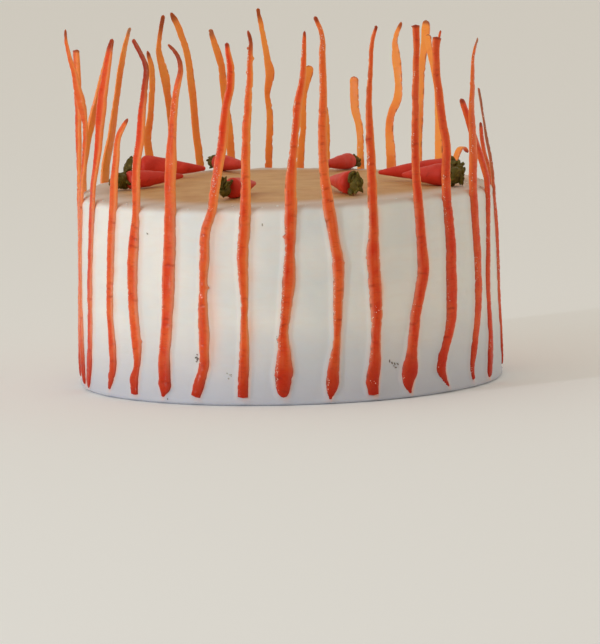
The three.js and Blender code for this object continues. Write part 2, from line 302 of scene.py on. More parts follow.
@dataclass
class Shell:
    """A closed mesh in millimetres, with the values that its finish reads."""

    points: np.ndarray
    faces: list[tuple[int, ...]]
    values: dict[str, np.ndarray] = field(default_factory=dict)

    def joined(self, other: "Shell") -> "Shell":
        """Puts this shell and another one together.

        Args:
            other: The other shell, with the same values as this one.

        Returns:
            Both as one mesh.
        """
        faces = self.faces + [tuple(i + len(self.points) for i in face) for face in other.faces]
        values = {name: np.concatenate([self.values[name], other.values[name]]) for name in self.values}
        return Shell(np.vstack([self.points, other.points]), faces, values)

    def volume(self) -> float:
        """Adds up the wedges between the faces and the origin.

        Returns:
            The volume inside, which is negative where the faces point inwards.
        """
        total = 0.0
        for size in {len(face) for face in self.faces}:
            rows = np.array([face for face in self.faces if len(face) == size])
            for i in range(1, size - 1):
                a, b, c = (self.points[rows[:, k]] for k in (0, i, i + 1))
                total += float(np.einsum("ij,ij->i", a, np.cross(b, c)).sum()) / 6
        return total

    def mesh(self, name: str) -> bpy.types.Mesh:
        """Makes the Blender mesh.

        Args:
            name: Its name.

        Returns:
            The mesh in metres, smooth, with its faces pointing outwards.
        """
        faces = self.faces if self.volume() > 0 else [face[::-1] for face in self.faces]
        mesh = bpy.data.meshes.new(name)
        mesh.from_pydata((self.points * MM).tolist(), [], faces)
        for key, value in self.values.items():
            attribute = mesh.attributes.new(key, "FLOAT", "POINT")
            attribute.data.foreach_set("value", np.ascontiguousarray(value, np.float32))
        mesh.shade_smooth()
        mesh.validate()
        return mesh


def hand_over(mesh: bpy.types.Mesh, material: bpy.types.Material,
              nodes: tuple[str, ...] = ()) -> bpy.types.Object:
    """Puts a finished mesh into the scene as a piece of the part.

    Args:
        mesh: The mesh, whose name the piece takes.
        material: Its finish.
        nodes: The CAD nodes that it stands for.

    Returns:
        The piece.
    """
    piece = bpy.data.objects.new(mesh.name, mesh)
    bpy.context.scene.collection.objects.link(piece)
    mesh.materials.clear()
    mesh.materials.append(material)
    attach(piece, BODY)
    if nodes:
        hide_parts(*nodes)
    LOG.info("%s: %d faces, for %s", piece.name, len(mesh.polygons), ", ".join(nodes) or "no node")
    return piece


# ------------------------------------------------------------------- finishes


@dataclass(frozen=True)
class Buttercream:
    """Buttercream icing, beaten from fat and sugar and smoothed with a palette knife.

    The eye gets a soft off-white with hardly any gloss, faint warm and cool blotches where the layer is
    thinner or thicker, and fine sugar grain. Painted into the colour are a tan top, which stands for shade
    and for warm light from the orange strips and fades to a paler rim, a greyer painted shade towards the
    foot, for the silver board under the cake, and an orange tinge beside the strips, partly colour run
    from the carrot and partly painted light that comes through the strips.
    """

    white: str = "#EEEAE3"
    cool: str = "#DFE1DF"
    warm: str = "#EADCCF"
    painted_foot_shade: str = "#B7B9C6"
    foot_shade_height: float = 42.0
    painted_top_shade: str = "#BC884E"
    painted_top_shade_light: str = "#CFA46C"
    top_shade_rim: str = "#D0C0B4"
    tint_and_glow: str = "#FFB48E"
    blotch: float = 34.0
    smear: float = 11.0
    grain: float = 0.9
    grain_depth: float = 0.12
    smear_depth: float = 0.25
    roughness: float = 0.62
    ior: float = 1.46
    light_depth: float = 2.0

    def material(self) -> bpy.types.Material:
        """Builds the icing's material.

        Returns:
            The material, which reads the mesh's values top, core and bleed.
        """
        material, tree, shader = new_material("palette_knifed_buttercream")
        place = add_node(tree, "ShaderNodeTexCoord").outputs["Object"]
        height = add_node(tree, "ShaderNodeSeparateXYZ", inputs={0: place}).outputs[2]
        given = mesh_values(tree, "top", "core", "bleed")
        blotch = mottle(tree, place, self.blotch, detail=3.0)
        # A knife stroke is about four times as long round the cake as it is high.
        smear = mottle(tree, stretched(tree, place, (1.0, 1.0, 4.0)), self.smear, detail=4.0)
        # The top's tan, which fades to a paler rim, is painted shade with warm light from the orange
        # strips.
        crust = layered(tree, self.painted_top_shade, (
            (smear, 0.25, 0.75, 1.0, self.painted_top_shade_light),
            (given["core"], 1.0, 0.0, 1.0, self.top_shade_rim)))
        colour = layered(tree, self.white, (
            (blotch, 0.36, 0.66, 1.0, self.cool),
            (smear, 0.45, 0.8, 0.3, self.warm),
            # Painted shade: the side turns greyer towards the foot, for the silver board that stood under
            # the cake.
            (height, self.foot_shade_height * MM, 0.0, 0.85, self.painted_foot_shade),
            (given["top"], 0.0, 1.0, 1.0, crust),
            # The orange tint beside the strips: partly colour run from the carrot, partly painted light
            # through them.
            (given["bleed"], 0.0, 1.0, 1.0, self.tint_and_glow)))
        grainy = dent(tree, mottle(tree, place, self.grain, detail=3.0), 0.35, self.grain_depth)
        fill(tree, shader, {
            "Base Color": colour, "Normal": dent(tree, smear, 0.5, self.smear_depth, grainy),
            "Roughness": self.roughness, "IOR": self.ior, "Subsurface Weight": 0.3,
            "Subsurface Radius": (1.0, 0.7, 0.45), "Subsurface Scale": self.light_depth * MM})
        return material


@dataclass(frozen=True)
class CandiedCarrot:
    """Carrot peelings cooked in sugar syrup and dried: limp flesh under a clear sugar glaze.

    The eye gets a clear, glossy red-orange that is deeper red in the thick feet and brown at the dried
    tips, fine cross wrinkles that catch the light under a hard sugar coat, and a broken brown skin line
    along one edge. Painted into the colour are shade in the wrinkle valleys and cracks, pale highlights
    along the edges, and a light orange where light comes through the right edge and the face that looks in.
    """

    orange: str = "#EA652B"
    red: str = "#DA350B"
    upper: str = "#E67A38"
    pale: str = "#EE8E60"
    rind: str = "#F2A284"
    painted_through_light: str = "#FFA24C"
    skin: str = "#85371C"
    crease: str = "#A0290C"
    foot: str = "#B42409"
    tip: str = "#7E2C1A"
    dried: str = "#A08068"
    patch: float = 9.0
    patchiness: float = 2.4
    fibre: float = 2.2
    wrinkle: float = 1.6
    wrinkle_depth: float = 0.35
    foot_height: float = 31.0
    foot_full: float = 4.0
    upper_heights: tuple[float, float] = (80.0, 190.0)
    roughness: tuple[float, float] = (0.25, 0.45)
    coat: float = 0.32
    coat_roughness: float = 0.08
    ior: float = 1.48
    light_depth: float = 2.5

    def material(self) -> bpy.types.Material:
        """Builds the strips' material.

        Returns:
            The material, which reads the values that a strip's class gives its mesh.
        """
        material, tree, shader = new_material("syrup_glazed_carrot_peel")
        place = add_node(tree, "ShaderNodeTexCoord").outputs["Object"]
        height = add_node(tree, "ShaderNodeSeparateXYZ", inputs={0: place}).outputs[2]
        given = mesh_values(tree, "thin", "rind", "inner", "crease", "skin", "tip", "dry", "tone")
        # A wrinkle runs across the strip: about three times as wide as it is high.
        wrinkle = mottle(tree, stretched(tree, place, (0.5, 0.5, 1.6)), self.wrinkle, detail=3.0)
        # Fibres run up the strip, so they are drawn out to eight times their width.
        fibre = mottle(tree, stretched(tree, place, (1.0, 1.0, 0.125)), self.fibre)
        redness = add_node(tree, "ShaderNodeMath", {"operation": "MULTIPLY_ADD"}, {
            0: mottle(tree, place, self.patch), 1: self.patchiness, 2: given["tone"]}).outputs[0]
        # The redder a strip is, the less it pales towards its top.
        paler = add_node(tree, "ShaderNodeMapRange", inputs={
            0: given["tone"], 1: 0.6, 2: 1.0, 3: 0.6, 4: 0.15}).outputs[0]
        end = layered(tree, self.tip, ((given["dry"], 0.0, 1.0, 1.0, self.dried),))
        colour = layered(tree, self.orange, (
            (redness, 1.1, 2.3, 1.0, self.red),
            (height, self.upper_heights[0] * MM, self.upper_heights[1] * MM, paler, self.upper),
            (fibre, 0.56, 0.8, 0.22, self.pale),
            # Painted shade in the wrinkle valleys.
            (wrinkle, 0.46, 0.3, 0.28, self.crease),
            # Painted highlight along the edges.
            (given["rind"], 0.0, 1.0, 1.0, self.rind),
            # Painted light coming through the face that looks in and through the right edge.
            (given["inner"], 0.0, 1.0, 1.0, self.painted_through_light),
            (given["thin"], 0.0, 1.0, 1.0, self.painted_through_light),
            (height, self.foot_height * MM, self.foot_full * MM, 0.95, self.foot),
            (given["skin"], 0.0, 1.0, 0.5, self.skin),
            # Painted shade in the cracks.
            (given["crease"], 0.0, 1.0, 0.65, self.crease),
            (given["tip"], 0.0, 1.0, 0.9, end)))
        shine = add_node(tree, "ShaderNodeMapRange", inputs={
            0: fibre, 1: 0.35, 2: 0.7, 3: self.roughness[0], 4: self.roughness[1]}).outputs[0]
        wrinkled = dent(tree, wrinkle, 0.9, self.wrinkle_depth)
        fill(tree, shader, {
            "Base Color": colour, "Roughness": shine, "Normal": wrinkled, "IOR": self.ior,
            "Specular IOR Level": 0.04, "Coat Weight": self.coat, "Coat Roughness": self.coat_roughness,
            "Coat IOR": self.ior, "Coat Normal": wrinkled, "Subsurface Weight": 0.5,
            "Subsurface Radius": (1.0, 0.4, 0.1), "Subsurface Scale": self.light_depth * MM})
        return material


@dataclass(frozen=True)
class SugarPaste:
    """Coloured sugar paste, rolled and pressed by hand: fine sugar bound with gum, slightly greasy.

    The eye gets an even, deep colour with faint darker kneading marks and a satin sheen.
    """

    name: str
    colour: str
    dark: str
    light: str
    roughness: float
    knead: float = 3.5
    knead_depth: float = 0.3
    ior: float = 1.45
    light_depth: float = 1.5

    def material(self) -> bpy.types.Material:
        """Builds the paste's material.

        Returns:
            The material, which reads no values of the mesh.
        """
        material, tree, shader = new_material(self.name)
        place = add_node(tree, "ShaderNodeTexCoord").outputs["Object"]
        knead = mottle(tree, place, self.knead, detail=3.0, distortion=0.6)
        colour = layered(tree, self.colour, (
            (knead, 0.42, 0.25, 0.8, self.dark),
            (knead, 0.55, 0.78, 0.8, self.light)))
        fill(tree, shader, {
            "Base Color": colour, "Normal": dent(tree, knead, 0.4, self.knead_depth),
            "Roughness": self.roughness, "IOR": self.ior, "Specular IOR Level": 0.3,
            "Subsurface Weight": 0.08, "Subsurface Radius": (1.0, 0.3, 0.2),
            "Subsurface Scale": self.light_depth * MM})
        return material


RED_PASTE = SugarPaste("red_sugar_paste", "#D13624", "#B82D1C", "#DA4632", 0.5)
GREEN_PASTE = SugarPaste("moss_green_sugar_paste", "#564D10", "#312A0B", "#8E7E2C", 0.6, knead=1.6)


@dataclass(frozen=True)
class PlainFinish:
    """A small scattered thing of one colour with a faint speckle, such as a crumb or a syrup bead."""

    name: str
    colour: str
    speckle: str
    roughness: float
    grain: float

    def material(self) -> bpy.types.Material:
        """Builds the material of the scattered thing.

        Returns:
            The material, which reads no values of the mesh.
        """
        material, tree, shader = new_material(self.name)
        place = add_node(tree, "ShaderNodeTexCoord").outputs["Object"]
        speckled = ((mottle(tree, place, self.grain), 0.3, 0.7, 1.0, self.speckle),)
        fill(tree, shader, {
            "Base Color": layered(tree, self.colour, speckled), "Roughness": self.roughness})
        return material


# The beads' pale colour is a painted glint: it stands for light caught on the syrup.
GLINT_SYRUP_BEAD = PlainFinish("set_sugar_syrup", "#F8BC9C", "#FFE6D6", 0.1, 1.2)
ICING_CRUMB = PlainFinish("crumbled_buttercream", "#F1EEE8", "#DEDAD0", 0.7, 0.6)
SPICE_SPECK = PlainFinish("cinnamon_crumb", "#554B40", "#8C8378", 0.8, 0.5)
SOAKED_SPECK = PlainFinish("icing_soaked_crumb", "#98907F", "#C9C4B8", 0.8, 0.5)


# ------------------------------------------------------------------- the cake


@dataclass(frozen=True)
class CakeForm:
    """The iced body's sizes, and the surfaces that the strips and the sugar carrots sit on."""

    foot_radius: float = 108.0
    rim_radius: float = 105.0
    height: float = 99.0
    rim_rounding: float = 4.0
    foot_rounding: float = 1.5
    dome: float = 2.0
    saddle_rise: float = 1.0
    wave: float = 0.35

    def side_wave(self, azimuth: np.ndarray, height: np.ndarray) -> np.ndarray:
        """How far the hand-spread side stands out."""
        waves = np.sin(3 * azimuth + 0.7) + np.sin(5 * azimuth + height / 28) + np.sin(8 * azimuth - 2)
        return self.wave * waves / 3

    def side_radius(self, azimuth: np.ndarray, height: np.ndarray) -> np.ndarray:
        """Works out how far the side is from the middle.

        Args:
            azimuth: Azimuths of places on the side, in radians.
            height: Their heights.

        Returns:
            The radius at each.
        """
        up = np.clip(np.asarray(height) / self.height, 0, 1)
        even = self.foot_radius + (self.rim_radius - self.foot_radius) * up
        return even + self.side_wave(azimuth, height)

    def saddle(self, azimuth: np.ndarray, height: np.ndarray) -> np.ndarray:
        """How much the uneven rim is lifted."""
        return self.saddle_rise * np.sin(2 * azimuth) * (height / self.height) ** 2

    def top_height(self, x: float, y: float) -> float:
        """Works out the height of the top.

        Args:
            x: How far the place lies to the right.
            y: How far it lies to the back.

        Returns:
            The height there, without the fine relief.
        """
        out = math.hypot(x, y) / self.rim_radius
        rise = self.saddle_rise * math.sin(2 * math.atan2(x, -y))
        return self.height + self.dome * (1 - out * out) + rise * out * out


@dataclass
class IcedCake:
    """The iced body, spread by hand: knife strokes, pits, and icing pushed up beside every strip.

    around, foot_rings, wall_rings, rounding_rings, top_rings: How finely the mesh is divided.
    knife_marks, crust, ragged_rim: The relief of the side, of the top and along the rim.
    pits, pitted, pit_depth: Small bubbles in the side, the stretches that have them, and their depth.
    press, press_reach: How high and how wide the icing is pushed up beside a strip.
    dab, dab_size: The dab of icing at a strip's foot: how far it stands out, its width and its height.
    dab_height: How high the middle of that dab lies.
    tint_heights: The heights from which the orange tint sets in to a strip's right, and where that is full.
    stain, stain_reach: How much colour a strip leaves to its left, and how far.
    glow, glow_reach: How strong the painted glow is for light through a strip's right edge, and how far it
    reaches.
    lip, lip_height: How far the icing spreads at the cake's foot, and how high.
    dried: The radii outside which the top's painted tan shade has faded to the pale rim, and inside which
    the top is fully tan.
    """

    form: CakeForm
    fence: "CarrotFence"
    finish: Buttercream = Buttercream()
    around: int = 700
    foot_rings: int = 4
    wall_rings: int = 84
    rounding_rings: int = 9
    top_rings: int = 42
    knife_marks: tuple[Ripple, ...] = (
        Ripple(0.26, 24, 1), Ripple(0.16, 13, 2, (1.0, 1.0, 3.5)), Ripple(0.05, 2.6, 3))
    crust: tuple[Ripple, ...] = (
        Ripple(0.3, 21, 6), Ripple(0.16, 5, 7, (0.35, 1.0, 1.0)), Ripple(0.06, 2.2, 8))
    ragged_rim: tuple[Ripple, ...] = (Ripple(0.3, 7, 9), Ripple(0.12, 2.5, 10))
    pits: Ripple = Ripple(1.0, 1.9, 4)
    pitted: Ripple = Ripple(1.0, 17, 5)
    pit_depth: float = 0.35
    press: float = 0.75
    press_reach: float = 1.1
    dab: float = 1.0
    dab_size: tuple[float, float] = (3.4, 1.7)
    dab_height: float = 1.2
    tint_heights: tuple[float, float] = (10.0, 36.0)
    stain: float = 0.25
    stain_reach: float = 1.1
    glow: float = 0.8
    glow_reach: float = 0.7
    lip: float = 0.45
    lip_height: float = 2.6
    # The top's tan between these radii is painted shade and warm light from the orange strips.
    dried: tuple[float, float] = (99.0, 78.0)

    def profile(self) -> np.ndarray:
        """Draws the fine outline from the foot to near the middle of the top.

        Returns:
            One row for each ring: its radius, its height, and the outward and upward part of the normal.
        """
        form = self.form
        rows = []
        for turn in np.linspace(-math.pi / 2, 0, self.foot_rings):
            out = form.foot_radius - form.foot_rounding * (1 - math.cos(turn))
            rows.append((out, form.foot_rounding * (1 + math.sin(turn)), math.cos(turn), math.sin(turn)))
        for height in np.linspace(form.foot_rounding, form.height - form.rim_rounding, self.wall_rings)[1:]:
            out = form.foot_radius + (form.rim_radius - form.foot_radius) * height / form.height
            rows.append((out, height, 1.0, 0.0))
        for turn in np.linspace(0, math.pi / 2, self.rounding_rings)[1:]:
            out = form.rim_radius - form.rim_rounding * (1 - math.cos(turn))
            height = form.height - form.rim_rounding * (1 - math.sin(turn))
            rows.append((out, height, math.cos(turn), math.sin(turn)))
        flat = form.rim_radius - form.rim_rounding
        for out in np.linspace(flat, 0, self.top_rings + 1)[1:-1]:
            rows.append((out, form.height + form.dome * (1 - (out / form.rim_radius) ** 2), 0.0, 1.0))
        return np.array(rows)

    def relief(self, place: np.ndarray, up: np.ndarray) -> np.ndarray:
        """How far the icing stands off its even form.

        Args:
            place: Places on the even form.
            up: The upward part of the normal there.

        Returns:
            The distance along the normal.
        """
        form = self.form
        wall, top, ragged = (sum(ripple.at(place) for ripple in ripples)
                             for ripples in (self.knife_marks, self.crust, self.ragged_rim))
        pits = smooth(0.55, 0.9, self.pits.at(place)) * smooth(0.1, 0.6, self.pitted.at(place))
        radius = np.hypot(place[:, 0], place[:, 1])
        rim = smooth(form.rim_radius - 12, form.rim_radius - form.rim_rounding, radius)
        rim = rim * smooth(form.height - 15, form.height - 3, place[:, 2])
        share = smooth(0.2, 0.9, up)
        relief = wall * (1 - share) + top * share - self.pit_depth * pits * (1 - share) + rim * ragged
        # The relief dies away over the lowest 3 mm, so that the foot ends in a clean line.
        return relief * smooth(0, 3, place[:, 2])

    def beside_strips(self, azimuth: np.ndarray, height: np.ndarray) -> tuple[np.ndarray, np.ndarray]:
        """What the strips do to the side.

        Args:
            azimuth: Azimuths of places on the side, in radians.
            height: Their heights.

        Returns:
            How far the icing is pushed out, and how much orange tint it has: partly colour run from the
            strips, partly painted light that comes through them.
        """
        pushed, tint_and_glow = np.zeros(len(azimuth)), np.zeros(len(azimuth))
        for strip in self.fence.strips:
            centre, half = strip.trace(height)
            off = (azimuth - centre + math.pi) % (2 * math.pi) - math.pi
            off = off * self.form.rim_radius
            beside = np.maximum(np.abs(off) - half, 0)
            foot = strip.row.stations[0][0]
            on_strip = smooth(foot - 3, foot + 2, height)
            ridge = self.press * np.exp(-((beside / self.press_reach) ** 2))
            pushed = np.maximum(pushed, ridge * on_strip)
            wide, high = self.dab_size
            toe = np.exp(-((off / wide) ** 2) - ((height - self.dab_height) / high) ** 2)
            pushed = np.maximum(pushed, self.dab * toe)
            # To a strip's right the orange tint is partly colour run from the carrot, partly painted light
            # through the strip.
            reach = np.where(off > 0, strip.row.bleed_and_glow_reach, self.stain_reach)
            amount = np.where(off > 0, strip.row.bleed * smooth(*self.tint_heights, height), self.stain)
            tint_and_glow = np.maximum(tint_and_glow, amount * np.exp(-((beside / reach) ** 2)) * on_strip)
            # Painted light: the orange glow that comes through the strip's right edge is painted into the
            # icing that it touches.
            glow = np.where(off > 0, self.glow, 0) * np.exp(-((beside / self.glow_reach) ** 2))
            tint_and_glow = np.maximum(tint_and_glow, glow * on_strip)
        return pushed, tint_and_glow

    def build(self) -> bpy.types.Object:
        """Makes the iced body in place of its CAD node.

        Returns:
            The piece.
        """
        rows = self.profile()
        azimuth = np.tile(np.arange(self.around) * 2 * math.pi / self.around, len(rows))
        out, height, sideways, up = (np.repeat(column, self.around) for column in rows.T)
        outwards = outward(azimuth)
        # The waves of the side die away soon after the rim.
        near_side = np.minimum((out / self.form.rim_radius) ** 8, 1)
        wide = out + self.form.side_wave(azimuth, height) * near_side
        lift = self.form.saddle(azimuth, height) * (out / self.form.rim_radius) ** 2
        place = outwards * wide[:, None]
        place[:, 2] = height + lift
        pushed, tint_and_glow = self.beside_strips(azimuth, height)
        on_side = 1 - smooth(0.05, 0.9, np.abs(up))
        off = self.relief(place, up) + pushed * on_side
        lip = self.lip * np.exp(-((height / self.lip_height) ** 2)) * (0.6 + 0.4 * noise(place, 11, 11))
        place += outwards * (off * sideways + lip * on_side)[:, None]
        place[:, 2] = np.maximum(place[:, 2] + off * np.maximum(up, 0), 0)
        poles = np.array([[0, 0, 0.0], [0, 0, self.form.height + self.form.dome]])
        top = smooth(0.25, 0.95, up)
        tint_and_glow *= on_side * (0.65 + 0.35 * noise(place, 9, 12))
        # The orange tint is partly colour run from the strips, partly painted light through them; top and
        # core carry the top's painted tan shade.
        rings = {"top": top, "core": smooth(*self.dried, out) * top, "bleed": np.clip(tint_and_glow, 0, 1)}
        values = {name: np.append(value, [value[0], value[-1]]) for name, value in rings.items()}
        shell = Shell(np.vstack([place, poles]), tube_faces(len(rows), self.around), values)
        return hand_over(shell.mesh("buttercream_body"), self.finish.material(), ("iced_cake",))


# ----------------------------------------------------------------- the strips


class Tip(Enum):
    """How an end of a strip is shaped, by the length over which it closes in widths."""

    POINTED = 1.6
    ROUND = 0.55
    CUT = 0.12


@dataclass(frozen=True)
class StripRow:
    """Where one strip stands, how it runs, and what is particular to it.

    at: The azimuth in degrees.
    stations: Height, sideways, width and, where it leans away from the line of the side, the lean.
    tip, foot: The shapes of the free end and of the lower end.
    tone: From 0, orange, to 1, red.
    dark: The length of the brown tip.
    dry: From 0, a brown tip, to 1, a pale and dried one.
    cup: How far the edges stand up from the middle, as a share of the thickness.
    thick: A factor on the thickness.
    turn: How many degrees the free part is twisted.
    spurs: Height, side (-1 or 1) and length of small torn threads at the edge.
    prongs: Stations of the split ends.
    bleed, bleed_and_glow_reach: How much orange tint lies to its right, partly colour run from the carrot
    and partly
        painted light through the strip, and how far.
    beads: The share of its left edge that carries beads of syrup.
    frosted: Heights from and to which beads of syrup, coloured pale for painted glints, lie on its whole
    face.
    blush: How much redder its free top is.
    clear: How much painted light its right edge gets, for light that comes through it.
    edge_highlight_and_skin: How much of the pale painted edge highlight and of the brown skin its edges
    get.
    """

    at: float
    stations: tuple[tuple[float, ...], ...]
    tip: Tip = Tip.POINTED
    foot: Tip = Tip.ROUND
    tone: float = 0.5
    dark: float = 7.0
    dry: float = 0.0
    cup: float = 0.15
    thick: float = 1.0
    turn: float = 0.0
    spurs: tuple[tuple[float, float, float], ...] = ()
    prongs: tuple[tuple[tuple[float, ...], ...], ...] = ()
    bleed: float = 0.42
    bleed_and_glow_reach: float = 2.0
    beads: float = 0.4
    glinting: tuple[tuple[float, float], ...] = ()
    blush: float = 0.0
    clear: float = 0.12
    edge_highlight_and_skin: float = 1.0


